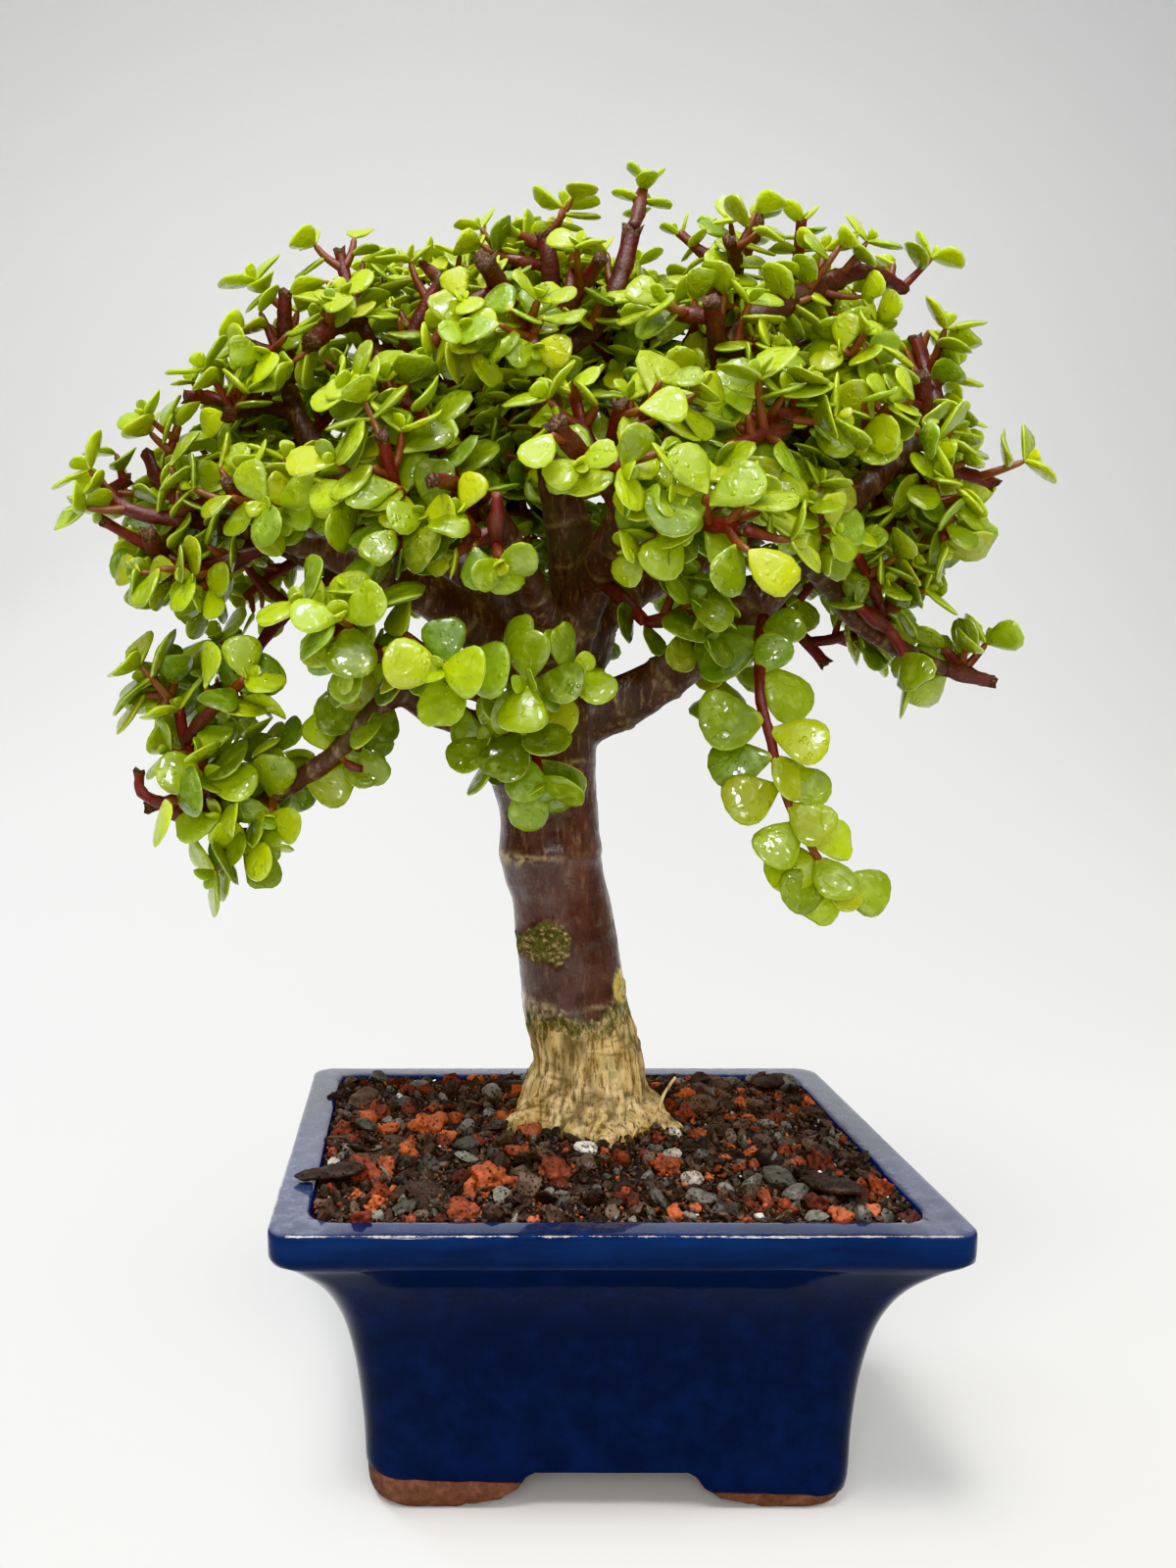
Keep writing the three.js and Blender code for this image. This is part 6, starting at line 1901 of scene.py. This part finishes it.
def barkLook():
    s = Shader("bark", Specular_IOR_Level=0.4, Coat_Roughness=0.12)
    stretched = s.noise(7, 4, 0.6, (1, 1, 0.3))
    skin = s.ramp(stretched, (0.28, (0.035, 0.014, 0.011)), (0.5, (0.06, 0.026, 0.018)),
                  (0.72, (0.095, 0.042, 0.028)))
    limb = s.ramp(s.noise(6, 5, 0.65, (1, 1, 0.5)), (0.3, (0.018, 0.009, 0.006)),
                  (0.52, (0.05, 0.026, 0.016)), (0.75, (0.13, 0.08, 0.05)))
    young = s.ramp(s.value("woodAge"), (0.05, 0.5), (0.4, 0.95), (0.9, 0))
    skin = s.mix(young, skin, limb)
    low = s.ramp(s.times(s.objectHeight(), 3), (0.42, 0.35), (0.52, 1))
    fleck = s.times(s.ramp(s.noise(1.5, 3, 0.6, (1, 1, 0.28)), (0.54, 0), (0.7, 0.7)), low)
    skin = s.mix(fleck, skin, (0.25, 0.15, 0.095))
    groove = s.times(s.ramp(s.noise(1.3, 3, 0.6, (1, 1, 0.2)), (0.33, 0.8), (0.45, 0)), low)
    skin = s.mix(groove, skin, (0.03, 0.014, 0.011))
    skin = s.over(skin, (0.035, 0.015, 0.014), s.noise(5, 4, 0.6, (0.3, 0.3, 1.6)), (0.35, 0.35), (0.55, 0))
    skin = s.over(skin, (0.085, 0.085, 0.035), s.noise(16, 3), (0.52, 0), (0.72, 0.4))  # green
    cork = s.ramp(s.noise(4, 5, 0.65, (1, 1, 0.3)), (0.26, (0.25, 0.15, 0.05)), (0.42, (0.55, 0.38, 0.15)),
                  (0.66, (0.78, 0.6, 0.32)))
    high = s.ramp(s.value("woodCork"), (0.3, 0.35), (1, 0))
    # algae
    patches = s.plus(s.noise(5, 5, 0.65, (1, 1, 0.4)), high)
    cork = s.over(cork, (0.13, 0.135, 0.03), patches, (0.55, 0), (0.72, 0.75))
    # painted shade: the cork is darker in its cracks and dimples
    cork = s.mix(s.times(s.value("woodCrack"), 0.85), cork, (0.045, 0.03, 0.014))
    lines = s.ramp(s.noise(1.7, 3, 0.5, (0.25, 0.25, 1.6)), (0.38, 0.6), (0.5, 0))
    lines = s.times(lines, s.ramp(s.noise(9, 2), (0.45, 0), (0.6, 1)))
    cork = s.mix(lines, cork, (0.15, 0.09, 0.035))
    # slits
    cork = s.over(cork, (0.12, 0.075, 0.028), s.noise(1.2, 4, 0.65, (1, 1, 0.16)), (0.38, 0.85), (0.5, 0))
    edge = s.frayed(s.value("woodCork"), 0.9, 2.2, 3)
    colour = s.mix(s.ramp(edge, (0.35, 0), (0.6, 1)), skin, cork)
    flakes = s.ramp(s.noise(1.4, 4, 0.7, (1, 1, 0.45)), (0.36, (0.03, 0.022, 0.01)),
                    (0.48, (0.1, 0.095, 0.028)), (0.58, (0.3, 0.22, 0.1)), (0.7, (0.55, 0.42, 0.22)))
    loose = s.frayed(s.value("woodFringe"), 1.6, 1.8, 4, 0.65)
    colour = s.mix(s.ramp(loose, (0.62, 0), (0.78, 0.9)), colour, flakes)
    ring = s.times(s.value("woodMark"), s.ramp(s.noise(3, 5, 0.65), (0.42, 0.1), (0.54, 1)))
    colour = s.mix(ring, colour, (0.36, 0.28, 0.15))
    scar = s.ramp(s.noise(1.5, 5, 0.7, (0.8, 1, 1.2)), (0.36, (0.02, 0.014, 0.007)),
                  (0.48, (0.075, 0.06, 0.022)), (0.56, (0.2, 0.15, 0.07)), (0.68, (0.42, 0.31, 0.16)))
    scar = s.over(scar, (0.05, 0.058, 0.014), s.noise(3, 4, 0.7), (0.46, 0), (0.58, 0.75))  # moss
    ragged = s.frayed(s.value("woodScar"), 1.5, 2, 4, 0.65)
    colour = s.mix(s.ramp(ragged, (0.5, 0), (0.62, 1)), colour, scar)
    cut = s.ramp(s.noise(1.6, 4), (0.34, (0.14, 0.09, 0.03)), (0.5, (0.42, 0.34, 0.06)),
                 (0.66, (0.6, 0.33, 0.12)))
    colour = s.mix(s.value("woodCut"), colour, cut)
    dull = s.math("MAXIMUM", s.value("woodCork"), s.value("woodScar"))
    limbs = s.ramp(s.value("woodAge"), (0.5, 0.22), (0.9, 0))
    rough = s.plus(s.times(dull, 0.5), s.times(s.noise(2.5, 3), 0.62), True)
    rough = s.plus(rough, limbs, True)
    wet = s.times(s.math("SUBTRACT", 1, dull, True), s.ramp(s.noise(9, 3), (0.4, 0.05), (0.65, 0.4)))
    wet = s.times(wet, s.ramp(s.value("woodAge"), (0.5, 0.1), (0.9, 1)))
    s.join(wet, s.main.inputs["Coat Weight"])
    fine = s.bump(s.noise(1.3, 4, 0.6, (1, 1, 0.4)), 0.35, 0.6)
    return s.finish(colour, rough, s.bump(s.noise(4.5, 3, 0.6, (0.7, 0.7, 1.6)), 0.45, 0.4, fine))


def glazeLook():
    s = Shader("blue_glaze", Coat_IOR=1.6, Coat_Roughness=0.04, Specular_IOR_Level=0.05)
    top = s.value("potTop")
    shine = s.times(top, s.ramp(s.value("potSide"), (0, 0.4), (0.6, 0.85)))
    s.join(s.plus(shine, 0.12), s.main.inputs["Coat Weight"])
    # mottled, and lighter towards the foot
    cloud = s.plus(s.noise(9, 6, 0.7), s.ramp(s.value("potHeight"), (0.2, 0.1), (0.6, 0), (0.86, 0)))
    blue = s.ramp(cloud, (0.3, (0.0015, 0.004, 0.0175)), (0.5, (0.002, 0.005, 0.0225)),
                  (0.75, (0.003, 0.0083, 0.04)))
    # painted reflection: a lighter, streaked band along the rim's face
    rimBandReflection = s.ramp(s.value("potHeight"), (0.86, 0), (0.97, 0.75))
    blue = s.mix(s.times(rimBandReflection, s.ramp(s.noise(12, 4, 0.6, (0.3, 0.3, 2)), (0.35, 0.3), (0.65, 1))),
                 blue, (0.007, 0.022, 0.09))
    blue = s.mix(s.times(s.value("potInner"), 0.6), blue, (0.003, 0.014, 0.1))
    thin = s.frayed(s.value("potRimEdge"), 1.2, 3, 5, 0.65)
    blue = s.over(blue, (0.4, 0.33, 0.26), thin, (0.8, 0), (0.95, 1))
    # pale blue on the rim's top, strongest at the sides and back: dust, and painted reflection of the pale
    # room
    dustAndReflectionNoise = s.ramp(s.noise(5, 5, 0.6), (0.35, 0.12), (0.75, 0.55))
    dustAndReflection = s.times(s.times(top, dustAndReflectionNoise), s.ramp(s.value("potSide"), (0, 0.2), (0.6, 1)))
    blue = s.mix(dustAndReflection, blue, (0.2, 0.22, 0.32))
    specks = s.ramp(s.cells(5.5), (0.035, 0.8), (0.06, 0))
    blue = s.mix(s.times(specks, top), blue, (0.02, 0.015, 0.02))
    rough = s.plus(s.times(dustAndReflection, 0.5), s.times(s.noise(11, 4), 0.22), True)
    grainy = s.bump(s.noise(1.2, 3), 0.04, 0.4)
    return s.finish(blue, rough, s.bump(s.noise(7, 3), 0.25, 0.35, grainy))


def clayLook():
    s = Shader("clay")
    colour = s.ramp(s.noise(3, 5, 0.65), (0.3, (0.06, 0.025, 0.014)), (0.52, (0.12, 0.05, 0.03)),
                    (0.74, (0.2, 0.1, 0.06)))
    colour = s.over(colour, (0.06, 0.03, 0.02), s.cells(1.4), (0.08, 0.8), (0.2, 0))  # pits, darkened: painted shade
    return s.finish(colour, 0.9, s.bump(s.noise(0.9, 4), 0.3, 0.7))


def stoneLook(name, dark, middle, light, size, pore, wet):
    # three tones, mottled and pored at these sizes; wet is the roughness of the wettest places
    s = Shader("soil_" + name)
    tone = s.plus(s.times(s.value("stoneTone"), 0.5), s.times(s.noise(size, 4), 0.55))
    colour = s.ramp(tone, (0.28, dark), (0.5, middle), (0.75, light))
    # dark pores: painted shade in the pits, which the bump also sinks
    pits = s.ramp(s.cells(pore), (0.14, 0.9), (0.36, 0))
    colour = s.mix(pits, colour, tuple(c * 0.25 for c in dark))
    crumbs = s.ramp(s.noise(1.6, 4, 0.7), (0.5, 0), (0.58, 0.75))
    dusty = s.ramp(s.noise(8, 3), (0.42, 0), (0.6, 1))
    colour = s.mix(s.times(crumbs, dusty), colour, (0.042, 0.027, 0.018))
    rough = s.ramp(s.noise(9, 2), (0.4, wet), (0.6, 0.95))
    return s.finish(colour, rough, s.bump(s.noise(pore, 3), 0.35, 0.7, s.bump(pits, -0.35, 0.8)))


def screenLook():
    s = Shader("screen", Roughness=0.55)
    return s.finish(s.ramp(s.noise(3), (0.3, (0.012, 0.012, 0.012)), (0.7, (0.03, 0.03, 0.03))))


# room: a pale floor that curves up behind, and soft light

room = {
    "halfWidth": 1600,  # of the floor, which also reaches this far to the front
    "curve": [350, 700],  # where it begins to curve up behind, and with what radius
    "wall": 2600,  # height of the wall behind
    "sky": (0.93, 0.96, 1, 1),
    "skyStrength": 0.4,
    # place, target, size, watts, colour
    "lights": [
        [[-180, -300, 1000], [0, 0, 190], 480, 11.5, (1, 0.98, 0.95)],
        [[-150, -900, 420], [0, 0, 150], 600, 6, (1, 0.99, 0.97)],
        [[620, -260, 620], [0, 0, 200], 300, 2.4, (1, 0.97, 0.93)],
        [[-500, 420, 720], [0, 0, 230], 300, 4, (0.93, 0.96, 1)],
        [[-190, -420, 800], [0, 0, 220], 110, 5, (1, 1, 1)],
        [[210, -480, 700], [0, 0, 220], 90, 3.2, (1, 1, 1)],
        [[0, -80, 950], [0, 0, 220], 120, 4, (1, 1, 1)],
        [[-60, -700, 420], [0, 0, 220], 70, 1.8, (1, 1, 1)],
    ],
    "glint": 200,  # lamps under this size are flat, and only glint on what is wet or glazed
    "glintFlat": 0.16,
}


def makeFloor():
    begin, radius = room["curve"]
    bend = np.linspace(0, np.pi / 2, 16)
    run = np.concatenate([[-room["halfWidth"]], begin + radius * np.sin(bend), [begin + radius]])
    rise = np.concatenate([[0], radius - radius * np.cos(bend), [room["wall"]]])
    across = np.linspace(-room["halfWidth"], room["halfWidth"], 3)
    points = np.stack([np.repeat(across, len(run)), np.tile(run, 3), np.tile(rise, 3)], axis=1)
    mesh = newMesh("floor", points, gridFaces(3, len(run), closed=False)[:, ::-1])
    floor = newObject("floor", mesh)
    mesh.materials.append(Shader("floor", Roughness=0.75).finish((0.78, 0.78, 0.77)))


def makeLight(name, place, target, size, watts, colour):
    data = bpy.data.lights.new(name, "AREA")
    isGlint = size < room["glint"]
    data.shape = "ELLIPSE" if isGlint else "DISK"
    data.size = size * mm
    data.size_y = room["glintFlat"] * size * mm
    data.energy = watts
    data.color = colour
    lamp = newObject(name, data)
    lamp.location = toFrame(place)
    way = np.array(target, float) - place
    flat = math.hypot(way[0], way[1])
    lamp.rotation_euler = (math.atan2(flat, -way[2]), 0, math.atan2(way[1], way[0]) - math.pi / 2)
    lamp.visible_glossy = isGlint
    lamp.visible_diffuse = not isGlint


def makeRoom():
    makeFloor()
    world = bpy.data.worlds.new("world")
    world.use_nodes = True
    background = world.node_tree.nodes["Background"]
    background.inputs["Color"].default_value = room["sky"]
    background.inputs["Strength"].default_value = room["skyStrength"]
    bpy.context.scene.world = world
    for number, light in enumerate(room["lights"]):
        makeLight(f"light{number}", *light)
    bpy.context.scene.view_settings.view_transform = "Khronos PBR Neutral"
    print("room:", len(room["lights"]), "lights")


makeRoom()
makeCamera()
makeSoil(
    stoneLook("dirt", (0.014, 0.0095, 0.007), (0.06, 0.038, 0.027), (0.14, 0.094, 0.066), 2, 1.2, 0.6),
    {
        "lava": stoneLook("lava", (0.045, 0.013, 0.01), (0.18, 0.04, 0.02), (0.42, 0.11, 0.045),
                          1.5, 1.6, 0.8),
        "stone": stoneLook("stone", (0.03, 0.027, 0.022), (0.075, 0.07, 0.058), (0.18, 0.172, 0.145),
                           3, 1.4, 0.5),
        "dirt": stoneLook("bark", (0.015, 0.01, 0.008), (0.05, 0.031, 0.023), (0.12, 0.076, 0.054),
                          3, 1, 0.6),
        "perlite": stoneLook("perlite", (0.3, 0.25, 0.21), (0.5, 0.44, 0.38), (0.72, 0.66, 0.6), 3, 1.2, 0.7),
    },
)
makePot(glazeLook(), clayLook())
makeTrunk(barkLook())
makeBranchlets(leafLook(), twigLook())
screenMaterial = screenLook()
for side in ("left", "right"):
    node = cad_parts["drain_screen_" + side]
    node.data.materials.clear()
    node.data.materials.append(screenMaterial)
